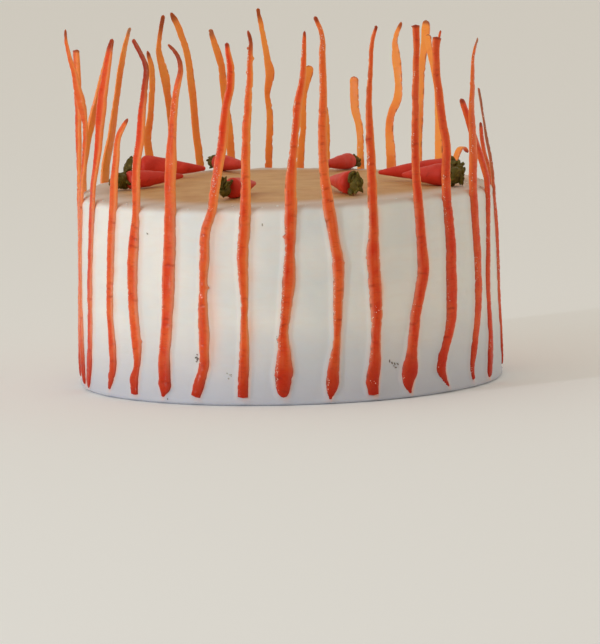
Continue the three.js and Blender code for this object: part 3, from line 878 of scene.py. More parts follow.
STRIPS = (
    StripRow(-92, ((3, 0, 4), (14, 0, 6), (50, 1, 6), (101, 2, 6), (130, 2, 5), (155, 1, 6),
                   (172, 1, 5.5)), Tip.CUT, tone=0.75, dark=2, cup=0.2, thick=1.4, turn=-28),
    StripRow(-80, ((3, 8, 4), (15, 4, 6), (45, -1, 5), (71, -4, 5), (102, 0, 5), (116, 0, 3.6, -1),
                   (134, 0, 3, -2), (147, 0, 5.6), (160, 0, 3.4, 2.5), (176, 0, 2, 6),
                   (184, 0, 1.2, 6.5)), tone=0.45, cup=0.2, thick=1.3, turn=-48),
    StripRow(-70, ((2, -4, 4), (10, -2, 6.8), (25, 0, 6.8), (50, 0, 6.8), (75, 1, 6.6), (104, 4, 5.6),
                   (125, 5, 5.4, -3), (148, 7, 6.4, -5), (170, 8, 4.6, -9), (180, 9, 3, -11)), Tip.ROUND,
             tone=1.0, dark=9, cup=0.25, thick=1.15, turn=-22),
    StripRow(-59, ((4, 1, 2), (10, 3.6, 5), (19, 5.5, 6), (45, 2.8, 6.2), (75, 3.6, 6.6), (100, 6, 6.4),
                   (118, 8.8, 5.4), (132, 12, 4.2), (142, 20, 2.4)), tone=0.4, dark=4),
    StripRow(-48.5, ((3, 3, 5), (11, 3, 6), (18, 5, 4.5), (28, 5, 7), (44, 3, 7), (61, 2, 7.5),
                     (78, 3, 7.5), (95, 5, 5.5), (116, 6, 6), (134, 10, 6), (147, 11.5, 5),
                     (158, 13.5, 4), (166, 15, 3.5), (172, 13, 3), (182, 6, 2.5)), Tip.ROUND, Tip.CUT,
             tone=0.32, dark=46, spurs=((30, 1, 0.7),), blush=0.9),
    StripRow(-36, ((3.2, -1.4, 1), (8.6, 0, 7.2), (12, 0, 7.4), (25, 0, 7), (40, 2, 7), (60, 3, 8),
                   (80, 4, 7.5), (107, 5, 6.5), (122, 6, 6.5), (134, 7, 5), (150, 9, 4),
                   (160, 11, 3.5), (168, 13, 2.8), (175, 11, 2.2), (180, 6, 1.4)), tone=0.6, dark=24,
             glinting=((117, 128), (145, 158))),
    StripRow(-22.5, ((4, -7, 5), (11, -5, 6), (21, -2, 5.5), (40, -2, 6), (58, -2, 4.5),
                     (75, -1, 5.5), (87, 0, 5.5), (96, 3, 5), (112, 6, 5), (130, 9.5, 5),
                     (148, 12, 4.2), (158, 14.5, 4), (168, 15, 3.8), (181, 13.5, 2)), Tip.ROUND, Tip.CUT,
             tone=0.45, dark=3.5, spurs=((59, 1, 1.1), (48, -1, 0.6)), bleed=0.7, bleed_and_glow_reach=5,
             beads=0.9, glinting=((96, 119),), blush=0.65, clear=0.28),
    StripRow(-12, ((4, -2, 5.5), (20, -1, 5.5), (47, 0, 4.2), (75, -0.5, 6), (92, 1, 6),
                   (115, 2, 4.8), (138, 3, 4.3), (160, 5, 3.5), (180, 6, 2.3), (187, 5, 1.5)),
             foot=Tip.CUT, tone=0.4, dark=16, spurs=((178, -1, 0.7), (173, 1, 0.9), (166, -1, 0.6)),
             bleed=0.5, bleed_and_glow_reach=3.2, beads=0.7, clear=0.4),
    StripRow(1, ((4, -6, 5), (10, -6, 7.5), (17, -5.5, 9.5), (26, -5, 7), (37, -5, 5), (52, -3, 6),
                 (62, -2, 7), (78, -1, 5.5), (96, 0, 6.5), (112, 0.5, 5.5), (130, 2.5, 4),
                 (150, 5, 4.2), (162, 7.5, 3.4), (175, 8.5, 2.5), (186, 9, 1.5)),
             tone=0.6, dark=4, spurs=((84, -1, 1.2), (33, -1, 0.9)), beads=0.95, blush=0.2, clear=0.25),
    StripRow(12, ((2, -4, 1.4), (9, -2.5, 6), (18, -1.5, 6), (31, 0.5, 4), (45, 1.5, 5),
                  (68, 2.5, 6.2), (81, 1, 5.5), (97, -1, 6), (115, -3, 5), (135, -3.5, 4.6),
                  (155, -2.5, 3.9), (174, -2.5, 3.4), (184, -2.5, 2.5), (193, -6, 2)), Tip.ROUND,
             tone=0.15, dark=5, spurs=((70, 1, 0.6),), glinting=((176, 190),)),
    StripRow(24, ((3, -4, 5), (11, -4, 7), (20, -2.5, 6.5), (33, -1.5, 5.5), (48, -0.5, 7),
                  (63, -1, 7.4), (75, -1.5, 7.2), (88, -0.5, 5.5), (115, -0.5, 5), (135, -1, 4.4),
                  (152, -1, 3.4), (169, 0.5, 2.5), (179, 1.5, 2.2), (187, 4, 1.8)), Tip.ROUND, Tip.CUT,
             tone=0.7, dark=4, spurs=((72, -1, 0.7),), beads=0.2, glinting=((44, 48), (9, 11))),
    StripRow(38.5, ((2, -10, 1.4), (8, -11, 6.6), (14, -10, 9.5), (25, -8, 6.5), (41, -5, 6.5),
                    (51, -2, 6.5), (63, 1, 7.5), (78, 0.5, 6.5), (100, -0.5, 5.5),
                    (116, -1.5, 5), (138, -1, 4.7), (158, 0, 4.5), (172, 1, 4), (186, 1, 4.5)),
             Tip.CUT, tone=0.85, dark=2, spurs=((186, -1, 1.6),), edge_highlight_and_skin=0.6),
    StripRow(50.5, ((3, -7, 1.4), (8, -10, 4), (14, -12, 7), (23, -8.5, 6), (33, -4, 7), (47, -2, 8),
                    (60, -1.5, 8), (78, -1, 7.5), (99, -2.5, 6.5), (114, -2, 6.2), (124, -1, 5.5),
                    (136, -4, 5.5), (151, -6.2, 5.2), (160, -7.2, 5), (170, -7.4, 4.6),
                    (179, -6.2, 5.6)), Tip.CUT, tone=0.85, dark=2,
             prongs=(((176, -5, 2), (180, -4.2, 1.5), (182, -3, 0.9)),), edge_highlight_and_skin=0.3),
    StripRow(64, ((4, -11, 2), (10, -12, 4), (20, -9.5, 5.4), (35, -5, 6.5), (50, -2.5, 7.4),
                  (70, -2, 7.4), (92, -2.5, 7), (110, -2, 7.4), (122, -1, 7), (140, -1.5, 6),
                  (152, 0.5, 5), (164, 1.5, 3.8), (170, 4.6, 3), (175.5, 9.4, 1.8)),
             tone=0.55, dark=9, dry=0.7, spurs=((153, -1, 1.0),), edge_highlight_and_skin=0.2),
    StripRow(70, ((3, -5, 5), (12, -3, 6.4), (25, -1, 5.4), (50, -1, 5.2), (67, 2, 5.2), (88, 6, 5.2),
                  (102, 7, 6), (114, 7, 6, -3), (124, 7, 5.6, -6), (134, 7, 5, -9), (144, 7, 4.4, -12)),
             Tip.ROUND, tone=0.9, dark=4, thick=1.15, turn=14, edge_highlight_and_skin=0.2),
    # Strip 16's long brown top is painted shade: it stands in shadow with the light behind it.
    StripRow(92, ((3, 5, 3), (12, 5, 5), (37, 4, 5), (58, 0, 5), (76, -5, 5), (102, -1, 4),
                  (117, -1, 4, -2), (131, -1, 3, -4), (147, -1, 1.4, -6)), tone=0.8, dark=70, dry=0.5,
             thick=1.45, edge_highlight_and_skin=0.4),
    StripRow(103, ((4, 2, 4), (15, 1, 6), (50, 0, 6), (85, -3, 6), (101, -5, 6.4), (112, -5, 6, -2),
                   (120, -5, 4.4, -3), (128, -5.5, 2.6, -3.4)), Tip.ROUND, tone=0.9, dark=4, thick=1.2,
             turn=32, edge_highlight_and_skin=0.3),
    StripRow(113.5, ((4, 0, 4), (14, -1, 6), (50, 1, 6), (101, 0, 5), (118, -1, 4), (128, 0, 2.5)),
             tone=0.6, dark=5),
    StripRow(124, ((4, 0, 4), (14, 1, 6), (45, 1, 6), (80, 0, 5), (101, 0, 5), (107, 0, 5, 1.5),
                   (111, 0, 5, 4), (111, 0, 4, 7), (108, 0, 3, 9)), Tip.ROUND, tone=0.5, dark=3),
    StripRow(131.5, ((4, -1, 4), (14, 1, 6), (50, 1, 6), (100, -1, 6), (130, -1.5, 5.2),
                     (144, -1, 5), (158, 3, 4.6), (165, 4.4, 4.6), (170, 4.6, 5.2)), Tip.ROUND,
             tone=0.3, dark=1),
    StripRow(139, ((4, 0, 4), (14, -1, 6), (50, -1, 6), (101, 0, 5), (135, -1, 4.6, 1.5),
                   (161, -2.6, 4.5, 3.5), (171, -3.8, 5.6, 4), (177, -4.3, 4.4, 4)), Tip.ROUND,
             tone=0.7, dark=3),
    StripRow(147.5, ((4, 0, 4), (14, 2, 6), (50, 2, 6), (99, 1.5, 5.6), (116, 2.5, 5.2),
                     (127, 1, 4.7), (135, -3, 5), (143, -4, 4.4), (157, -3, 5), (166, -2.5, 3),
                     (176, -7, 2.5)), tone=0.4, dark=6),
    StripRow(158.5, ((4, -1, 4), (14, 0, 6), (50, 1, 6), (98, -0.5, 4), (119, -0.5, 4.2),
                     (131, 2, 4.9), (147, 2, 5)), Tip.ROUND, tone=0.2, dark=1),
    StripRow(169, ((4, 1, 4), (14, 1, 5), (50, 0, 5), (99, -1, 4), (116, -1.5, 3.8),
                   (132, -1.5, 2.5)), tone=0.3, dark=3),
    StripRow(176, ((4, 0, 4), (14, 0, 6), (50, -1, 6), (99, 0, 4), (119, -2, 3.3), (137, -3, 3.3),
                   (149, -5.5, 4.8), (153, -5.5, 4.5)), Tip.ROUND, tone=0.2, dark=1),
    StripRow(185.5, ((4, 0, 4), (14, 0, 5), (50, 1, 5), (99, -0.5, 4), (127, -2, 3.5),
                     (138, -1, 3), (149, -2.5, 4.8), (157, -1.5, 3.6), (170, 0.5, 2.8), (184, 3, 2)),
             Tip.ROUND, tone=0.45, dark=10),
    StripRow(196, ((4, 1, 4), (14, 1, 6), (50, -1, 6), (99, 0, 4.5), (117, 0.5, 4.3),
                   (136, 2.5, 3.8), (153, 4, 4), (164, 7, 3.7), (174, 10, 2.5)), Tip.ROUND,
             tone=0.35, dark=7, dry=0.6),
    StripRow(205, ((4, 0, 4), (14, 1, 6), (50, 2, 6), (99, 1, 4.7), (121, 3, 4.3), (143, 4.5, 4.5),
                   (162, 7, 4), (173, 10.5, 3.8), (184, 16, 3)), tone=0.3, dark=8),
    StripRow(216, ((4, 1, 4), (14, 0, 6), (50, -1, 6), (101, -2, 4.6), (128, -2, 3.9),
                   (145, 0, 5), (153, 1.5, 5.6), (161, 3.5, 4.4), (168, 4, 3.2), (183, 0.5, 2.8)),
             Tip.ROUND, tone=0.6, dark=16),
    StripRow(225, ((4, 0, 4), (14, -1, 6), (50, -2, 6), (101, -4, 5.5), (118, -3, 5),
                   (134, -6, 3.7), (154, -7, 3.6), (165, -4.5, 2)), tone=0.55, dark=6),
    StripRow(243, ((4, -1, 4), (14, 0, 7), (50, 1, 7), (101, 0, 8), (122, 0, 8, -4),
                   (142, 0, 5, -8), (163, 0, 5, -12), (180, 0, 3.5, -17)), Tip.ROUND,
             tone=0.4, dark=6, dry=1.0, cup=0.2),
    StripRow(257, ((4, 2, 4), (14, 1, 6), (50, 0, 6), (101, 4, 5), (120, 4, 4.6, -2), (134, 4, 6, -5),
                   (148, 4, 6, -9), (160, 4, 4.8, -12), (173, 4, 3, -15)), Tip.ROUND, tone=0.6, dark=5,
             cup=0.2, thick=1.2, turn=15),
)


@dataclass
class CarrotStrip:
    """One candied strip: a wrinkled ribbon, crowned outside, pressed against the side and free above it.

    spacing, corners: The distance between its rings, and how many points a ring has.
    gap: How far it stands off the even side.
    thinnest, thickest, thick_per_width: Its least and greatest thickness, and the thickness by width.
    free_from, turned_over, sway: Where it leaves the side, where its twist is full, and how far it sways.
    wander: How far its line strays.
    back_bulge: How far its back stands out, as a share of the thickness.
    crack_spacing, crack_depth: How often it has a crack across, and how deep that is.
    fold_depths: The depths of its fine and its coarse wrinkles.
    edge_rough, nick_depth: How ragged its left and right edge are, and how deep their nicks.
    """

    number: int
    row: StripRow
    form: CakeForm
    spacing: float = 0.62
    corners: int = 20
    gap: float = 0.3
    thinnest: float = 0.9
    thickest: float = 2.2
    thick_per_width: float = 0.3
    free_from: float = 101.0
    turned_over: float = 129.0
    sway: float = 12.0
    wander: float = 0.22
    back_bulge: float = 0.16
    crack_spacing: float = 10.0
    crack_depth: float = 0.3
    fold_depths: tuple[float, float] = (0.13, 0.1)
    edge_rough: tuple[float, float] = (0.2, 0.12)
    nick_depth: float = 0.35

    def thickness(self, width: np.ndarray) -> np.ndarray:
        """How thick the strip is where it has these widths."""
        return self.row.thick * np.clip(width * self.thick_per_width, self.thinnest, self.thickest)

    def run(self, stations: tuple[tuple[float, ...], ...]) -> tuple[np.ndarray, ...]:
        """The run of the strip or of one of its prongs, at even distances.

        Args:
            stations: Height, sideways, width and lean of the places that it goes through.

        Returns:
            The distance along it, its centre line, its azimuths and its widths.
        """
        full = np.array([(*station, 0.0)[:4] for station in stations])
        shares = np.linspace(0, 1, 60 * len(full))
        height, sideways, width, lean = spline(full, shares).T
        # The side stops an inward lean, so it only sets in above the rim.
        inward = np.minimum(lean, 0) * smooth(99, 106, height)
        azimuth = math.radians(self.row.at) + sideways / self.form.rim_radius
        out = self.form.side_radius(azimuth, height) + self.gap + np.maximum(lean, 0) + inward
        centre = np.stack([out * np.sin(azimuth), -out * np.cos(azimuth), height], 1)
        steps = np.linalg.norm(np.diff(centre, axis=0), axis=1)
        distance = np.concatenate([[0], np.cumsum(steps)])
        even = np.linspace(0, distance[-1], max(int(distance[-1] / self.spacing), 8))
        line = np.stack([np.interp(even, distance, column) for column in centre.T], 1)
        return even, line, np.interp(even, distance, azimuth), np.interp(even, distance, width)

    def trace(self, height: np.ndarray) -> tuple[np.ndarray, np.ndarray]:
        """Finds the strip at heights on the side.

        Args:
            height: The heights.

        Returns:
            Its azimuth in radians and half its width at each.
        """
        _, line, azimuth, width = self.run(self.row.stations)
        wall = line[:, 2] < self.form.height
        return (np.interp(height, line[wall, 2], azimuth[wall]),
                np.interp(height, line[wall, 2], width[wall]) / 2)

    def closing(self, even: np.ndarray, width: np.ndarray, tip: Tip) -> np.ndarray:
        """Rounds off the foot and the tip.

        Args:
            even: The distances of the rings along the strip.
            width: The widths there.
            tip: The shape of the free end.

        Returns:
            The share of the full width that is left at each ring.
        """
        toe = np.clip(even / max(width[0] * self.row.foot.value, 0.6), 0, 1)
        end = np.clip((even[-1] - even) / max(width[-1] * tip.value, 0.25), 0, 1)
        return np.sqrt(1 - (1 - toe) ** 2) * np.sqrt(1 - (1 - end) ** 2)

    def edges(self, even: np.ndarray, height: np.ndarray, width: np.ndarray, seed: int) -> np.ndarray:
        """How far the left and the right edge lie from the middle: ragged, nicked and torn.

        Args:
            even: The distances of the rings along the strip.
            height: Their heights.
            width: The widths there.
            seed: Chooses the pattern.

        Returns:
            One row for each ring: the left distance and the right one.
        """
        halves = []
        for side, rough in zip((-1, 1), self.edge_rough):
            half = width / 2 * (1 + 0.06 * noise_along(even, 5, seed + 3 + side))
            half = half + rough * noise_along(even, 1.5, seed + 6 + side)
            half -= self.nick_depth * smooth(0.5, 0.8, noise_along(even, 2.1, seed + 16 + side))
            for at, spur_side, length in self.row.spurs:
                if spur_side == side:
                    half += length * np.exp(-(((height - at) / 0.8) ** 2))
            halves.append(half)
        return np.stack(halves, 1)

    def cracks(self, even: np.ndarray, flat: np.ndarray, seed: int) -> np.ndarray:
        """Short slanting cracks, each over a part of the width.

        Args:
            even: The distances of the rings along the strip.
            flat: How far across each corner of a ring lies, from -1 to 1.
            seed: Chooses the cracks.

        Returns:
            From 0 to 1, how deep the crack is: one row for each ring, one column for each corner.
        """
        draw = np.random.default_rng(seed)
        depth = np.zeros((len(even), len(flat)))
        for place in draw.uniform(2, even[-1] - 2, int(even[-1] / self.crack_spacing) + 1):
            deep, slant, middle, reach = draw.uniform((0.2, -0.7, -1.2, 0.2), (1.0, 0.7, 1.0, 1.0))
            off = even[:, None] - place - slant * flat[None, :] - 0.3 * np.sin(4 * flat + 9 * deep)
            here = smooth(reach + 0.35, reach - 0.2, np.abs(flat - middle))
            depth = np.maximum(depth, deep ** 2 * np.exp(-((off / 0.55) ** 2)) * here)
        return depth

    def ribbon(self, stations: tuple[tuple[float, ...], ...], tip: Tip, seed: int) -> Shell:
        """The closed ribbon along one run.

        Args:
            stations: The places that it goes through.
            tip: The shape of its free end.
            seed: Chooses its wrinkles.

        Returns:
            The ribbon with the values that its finish reads.
        """
        even, line, azimuth, width = self.run(stations)
        for column in (0, 1):
            line[:, column] += self.wander * noise_along(even, 8, seed + column)
        along = unit(np.gradient(line, axis=0))
        level = rightward(azimuth)
        across = unit(level - along * np.sum(level * along, axis=1, keepdims=True))
        outwards = np.cross(across, along)
        sway = self.row.turn + self.sway * noise_along(even, 34, seed + 2)
        turn = (np.radians(sway) * smooth(self.free_from, self.turned_over, line[:, 2]))[:, None]
        across, outwards = (across * np.cos(turn) + outwards * np.sin(turn),
                            outwards * np.cos(turn) - across * np.sin(turn))
        closing = self.closing(even, width, tip)[:, None]
        thick = self.thickness(width)[:, None] * closing ** 0.7
        angle = np.arange(self.corners) * 2 * math.pi / self.corners
        flat = np.sign(np.cos(angle)) * np.abs(np.cos(angle)) ** 0.8
        high = np.abs(np.sin(angle))
        crown = np.where(np.sin(angle) > 0, high ** 0.95, -self.back_bulge * high)
        outer = np.clip(np.sin(angle) * 1.6, 0, 1)
        crease = self.cracks(even, flat, seed)
        halves = self.edges(even, line[:, 2], width, seed) * closing
        sideways = halves[:, (flat > 0).astype(int)] * flat
        # Wrinkles run across, so the pattern is drawn out that way.
        grid = np.stack([even.repeat(self.corners), 0.35 * sideways.ravel(), np.zeros(crease.size)], 1)
        fine, coarse = self.fold_depths
        folds = fine * noise(grid, 1.3, seed + 10) + coarse * noise(grid, 3.1, seed + 11)
        folds = folds.reshape(crease.shape) - self.crack_depth * crease
        cup = (self.row.cup + 0.2 * noise_along(even, 30, seed + 9))[:, None] * (1 - flat ** 2)
        rise = thick * (crown - cup * outer) + folds * closing * outer
        points = line[:, None] + across[:, None] * sideways[..., None] + outwards[:, None] * rise[..., None]
        rings = points.reshape(-1, 3)
        skinned = smooth(0.1, 0.5, noise_along(even, 2.0, seed + 14))[:, None] * smooth(-0.6, -0.9, flat)
        dark = smooth(even[-1] - self.row.dark, even[-1] - 0.3 * self.row.dark, even)[:, None]
        free = smooth(self.free_from - 15, self.free_from + 9, line[:, 2])[:, None]
        above_foot = smooth(8, 34, line[:, 2])[:, None]
        blush = self.row.blush * smooth(self.free_from, self.free_from + 30, line[:, 2])[:, None]
        values = {
            # Painted light coming through the right edge and the free part's edges.
            "thin": self.row.clear * above_foot * smooth(-0.1, 1, flat)
                    + free * (0.5 * smooth(0.25, 1, flat) + 0.25 * smooth(-0.6, -1, flat)),
            # Painted highlight along both edges, less on the free part and near the foot.
            "rind": self.row.edge_highlight_and_skin * (0.75 - 0.35 * free) * (0.45 + 0.55 * above_foot)
                    * smooth(0.4, 1, np.abs(flat)),
            # Painted light coming through the face that looks in.
            "inner": np.clip(-np.sin(angle) * 1.8, 0, 1)
                     * np.clip(0.85 + 0.5 * noise_along(even, 14, seed + 17), 0.3, 1)[:, None],
            # Painted shade in the cracks, mostly on the outer face.
            "crease": crease * (0.2 + 0.8 * outer),
            "skin": self.row.edge_highlight_and_skin * skinned,
            "tip": 0.85 * dark,
            "dry": self.row.dry,
            "tone": self.row.tone + blush + 0.12 * noise_along(even, 24, seed + 15)[:, None],
        }
        spread = {name: (value + np.zeros_like(crease)).ravel() for name, value in values.items()}
        values = {name: np.append(value, [value[0], value[-1]]) for name, value in spread.items()}
        ends = np.array([rings[: self.corners].mean(0), rings[-self.corners :].mean(0)])
        return Shell(np.vstack([rings, ends]), tube_faces(len(even), self.corners), values)

    def build(self, material: bpy.types.Material) -> bpy.types.Object:
        """Makes the strip, with its prongs, in place of its CAD node.

        Args:
            material: Its finish.

        Returns:
            The piece.
        """
        seed = 100 * self.number
        shell = self.ribbon(self.row.stations, self.row.tip, seed)
        for index, stations in enumerate(self.row.prongs):
            shell = shell.joined(self.ribbon(stations, Tip.POINTED, seed + 50 + index))
        mesh = shell.mesh(f"candied_strip_{self.number:02d}")
        return hand_over(mesh, material, (f"carrot_strip_{self.number:02d}",))


@dataclass
class CarrotFence:
    """All the strips round the side, with beads of syrup on them, coloured pale for painted glints.

    bead_spacing, bead_jitter: How far apart beads may lie along a strip, and how far each is shifted.
    bare_foot, bare_tip: The lengths at a strip's two ends that carry none.
    left_edge, edge_band, face_band: Where a bead's place across starts, from -1 to 1, and how wide a
        band it is drawn from, along the edge and on a glinting stretch.
    edge_share, face_share: The share of the places there that get a bead.
    sunk: How far up the crown of the strip a bead sits.
    """

    form: CakeForm
    finish: CandiedCarrot = CandiedCarrot()
    bead_spacing: float = 0.36
    bead_jitter: float = 0.3
    bare_foot: float = 4.0
    bare_tip: float = 6.0
    left_edge: float = -0.9
    edge_band: float = 0.3
    face_band: float = 1.5
    edge_share: float = 0.5
    face_share: float = 0.9
    sunk: float = 0.85

    def __post_init__(self) -> None:
        """Lays out the strips."""
        self.strips = [CarrotStrip(number, row, self.form) for number, row in enumerate(STRIPS, 1)]

    def bead_places(self) -> tuple[np.ndarray, np.ndarray]:
        """Finds where the beads go: along the left edge of every strip, and on its glinting stretches.

        Returns:
            The places, and which way is out there, one row each.
        """
        places, outs = [], []
        for strip in self.strips:
            even, line, azimuth, width = strip.run(strip.row.stations)
            draw = np.random.default_rng(900 + strip.number)
            at = np.arange(self.bare_foot, even[-1] - self.bare_tip, self.bead_spacing)
            at = at + draw.uniform(-self.bead_jitter, self.bead_jitter, len(at))
            centre = np.stack([np.interp(at, even, column) for column in line.T], 1)
            half, turn = np.interp(at, even, width) / 2, np.interp(at, even, azimuth)
            level, out = rightward(turn), outward(turn)
            glinting = np.zeros(len(at), bool)
            for low, high in strip.row.glinting:
                glinting |= (centre[:, 2] > low) & (centre[:, 2] < high)
            band = np.where(glinting, self.face_band, self.edge_band)
            share = draw.uniform(0, 1, len(at)) * band + self.left_edge
            rise = strip.thickness(2 * half) * (1 - share ** 2) ** 0.5 * self.sunk
            keep = noise_along(at, 9, 40 + strip.number) > 0.55 - 1.2 * strip.row.beads
            likely = np.where(glinting, self.face_share, self.edge_share)
            keep = (keep | glinting) & (draw.uniform(0, 1, len(at)) < likely)
            places.append((centre + level * (half * share)[:, None] + out * rise[:, None])[keep])
            outs.append(out[keep])
        return np.vstack(places), np.vstack(outs)

    def build(self) -> None:
        """Makes the strips and their beads."""
        material = self.finish.material()
        for strip in self.strips:
            strip.build(material)
        # Pale beads paint in the glints along the strips' edges and on their glinting stretches.
        places, outs = self.bead_places()
        beads = Scatter(smallest=0.1, largest=0.32, tumble=0.4, seed=5)
        beads.build("syrup_beads", places, outs, round_lump(0.8), GLINT_SYRUP_BEAD.material(), "candied_carrot")


# -------------------------------------------------------- small scattered things


def round_lump(high: float, wide: tuple[float, float] = (1.0, 1.0)) -> Shell:
    """A small twenty-sided ball.

    Args:
        high: Its radius upwards.
        wide: Its two radii sideways.

    Returns:
        The closed ball.
    """
    golden = (1 + math.sqrt(5)) / 2
    points = [(-1, golden, 0), (1, golden, 0), (-1, -golden, 0), (1, -golden, 0), (0, -1, golden),
              (0, 1, golden), (0, -1, -golden), (0, 1, -golden), (golden, 0, -1), (golden, 0, 1),
              (-golden, 0, -1), (-golden, 0, 1)]
    faces = [(0, 11, 5), (0, 5, 1), (0, 1, 7), (0, 7, 10), (0, 10, 11), (1, 5, 9), (5, 11, 4),
             (11, 10, 2), (10, 7, 6), (7, 1, 8), (3, 9, 4), (3, 4, 2), (3, 2, 6), (3, 6, 8), (3, 8, 9),
             (4, 9, 5), (2, 4, 11), (6, 2, 10), (8, 6, 7), (9, 8, 1)]
    return Shell(unit(np.array(points, float)) * np.array([*wide, high]), faces)


@dataclass(frozen=True)
class Leaf:
    """A thick little leaf along +Z, with a bent blade, a pressed middle and a lobed, rounded edge.

    length, width: From its base to its end, and across its widest part.
    rings, sides: How finely its mesh is divided.
    lobe: How far the lobes of its edge stand out, as a share of the width.
    thick, pressed: Its thickness as a share of its width, and how much of that is pressed away.
    bend, curl: How far its end and its edges stand up, as shares of the length and the width.
    """

    length: float
    width: float
    rings: int = 13
    sides: int = 16
    lobe: float = 0.16
    thick: float = 0.42
    pressed: float = 0.35
    bend: float = 0.3
    curl: float = 0.5

    def shell(self) -> Shell:
        """Makes the leaf.

        Returns:
            A closed shell of a few hundred faces.
        """
        share = (np.arange(self.rings) + 0.5)[:, None] / self.rings
        angle = 2 * math.pi * np.arange(self.sides)[None, :] / self.sides
        lobes = 1 + self.lobe * np.cos(share * 5 * math.pi) * np.cos(angle) ** 2
        half = self.width / 2 * np.sin(math.pi * (0.12 + 0.8 * share)) ** 0.5 * lobes
        hollow = 1 - self.pressed * np.cos(2 * angle) * np.sign(np.sin(angle))
        x = half * np.cos(angle)
        y = self.thick * half * np.sin(angle) * hollow
        y = y + self.bend * self.length * share ** 2 + self.curl * x ** 2 / self.width
        z = self.length * share + np.zeros_like(angle)
        ends = [(0, 0, 0), (0, self.bend * self.length, self.length)]
        points = np.vstack([np.stack([x, y, z], 2).reshape(-1, 3), ends])
        return Shell(points, tube_faces(self.rings, self.sides))


@dataclass
class Scatter:
    """Geometry Nodes that set copies of one small shape on given places.

    smallest, largest: The range of sizes, as a factor on the shape in millimetres.
    tumble: How far a copy may be turned away from its direction, in radians.
    seed: Chooses the sizes and turns.
    """

    smallest: float
    largest: float
    tumble: float
    seed: int

    def tree(self) -> tuple[bpy.types.NodeTree, dict[str, str]]:
        """Builds the node tree.

        Returns:
            The tree, and the identifier of each of its named inputs.
        """
        tree = bpy.data.node_groups.new("scatter_small_things", "GeometryNodeTree")
        kinds = {"Geometry": "Geometry", "Shape": "Object", "Material": "Material", "Smallest": "Float",
                 "Largest": "Float", "Tumble": "Float", "Seed": "Int"}
        for name, kind in kinds.items():
            tree.interface.new_socket(name, in_out="INPUT", socket_type=f"NodeSocket{kind}")
        tree.interface.new_socket("Geometry", in_out="OUTPUT", socket_type="NodeSocketGeometry")
        names = {item.name: item.identifier for item in tree.interface.items_tree if item.in_out == "INPUT"}
        given = add_node(tree, "NodeGroupInput").outputs
        shape = add_node(tree, "GeometryNodeObjectInfo", {"transform_space": "ORIGINAL"},
                         {"Object": given["Shape"]})
        facing = add_node(tree, "GeometryNodeInputNamedAttribute", {"data_type": "FLOAT_VECTOR"},
                          {"Name": "facing"})
        upright = add_node(tree, "FunctionNodeAlignRotationToVector", {"axis": "Z"},
                           {"Vector": facing.outputs[0]})
        least = add_node(tree, "ShaderNodeMath", {"operation": "MULTIPLY"}, {0: given["Tumble"], 1: -1.0})
        low = add_node(tree, "ShaderNodeCombineXYZ", inputs={
            0: least.outputs[0], 1: least.outputs[0], 2: -math.pi})
        high = add_node(tree, "ShaderNodeCombineXYZ", inputs={
            0: given["Tumble"], 1: given["Tumble"], 2: math.pi})
        angles = add_node(tree, "FunctionNodeRandomValue", {"data_type": "FLOAT_VECTOR"},
                          {0: low.outputs[0], 1: high.outputs[0], "Seed": given["Seed"]})
        turn = add_node(tree, "FunctionNodeEulerToRotation", inputs={0: angles.outputs[0]})
        turned = add_node(tree, "FunctionNodeRotateRotation", {"rotation_space": "LOCAL"},
                          {0: upright.outputs[0], 1: turn.outputs[0]})
        size = add_node(tree, "FunctionNodeRandomValue", {"data_type": "FLOAT"},
                        {2: given["Smallest"], 3: given["Largest"], "Seed": given["Seed"]})
        copies = add_node(tree, "GeometryNodeInstanceOnPoints", inputs={
            "Points": given["Geometry"], "Instance": shape.outputs["Geometry"],
            "Rotation": turned.outputs[0], "Scale": size.outputs[1]})
        real = add_node(tree, "GeometryNodeRealizeInstances", inputs={0: copies.outputs[0]})
        dressed = add_node(tree, "GeometryNodeSetMaterial", inputs={
            "Geometry": real.outputs[0], "Material": given["Material"]})
        add_node(tree, "NodeGroupOutput", inputs={0: dressed.outputs[0]})
        return tree, names

    def mesh(self, name: str, places: np.ndarray, facings: np.ndarray, shape: Shell,
             material: bpy.types.Material) -> bpy.types.Mesh:
        """Sets the copies and turns them into a plain mesh.

        Args:
            name: The name of the mesh.
            places: Where a copy may go, in millimetres.
            facings: Which way its own +Z points there.
            shape: The shape that is copied.
            material: Its finish.

        Returns:
            The mesh of all copies.
        """
        carrier_mesh = bpy.data.meshes.new("carrier")
        carrier_mesh.from_pydata((places * MM).tolist(), [], [])
        facing = carrier_mesh.attributes.new("facing", "FLOAT_VECTOR", "POINT")
        facing.data.foreach_set("vector", np.ascontiguousarray(facings, np.float32).ravel())
        carrier = bpy.data.objects.new("carrier", carrier_mesh)
        model = bpy.data.objects.new("model", shape.mesh("model"))
        for helper in (carrier, model):
            bpy.context.scene.collection.objects.link(helper)
        tree, names = self.tree()
        modifier = carrier.modifiers.new("scatter", "NODES")
        modifier.node_group = tree
        settings = {"Shape": model, "Material": material, "Smallest": self.smallest,
                    "Largest": self.largest, "Tumble": self.tumble, "Seed": self.seed}
        for socket, value in settings.items():
            modifier[names[socket]] = value
        evaluated = carrier.evaluated_get(bpy.context.evaluated_depsgraph_get())
        mesh = bpy.data.meshes.new_from_object(evaluated)
        mesh.name = name
        carrier.modifiers.clear()
        for helper in (carrier, model):
            bpy.data.objects.remove(helper)
        bpy.data.node_groups.remove(tree)
        mesh.shade_smooth()
        return mesh

    def build(self, name: str, places: np.ndarray, facings: np.ndarray, shape: Shell,
              material: bpy.types.Material, slot: str) -> bpy.types.Object:
        """Makes one piece of all the copies, for no node of its own."""
        return hand_over(self.mesh(name, places, facings, shape, material), material)


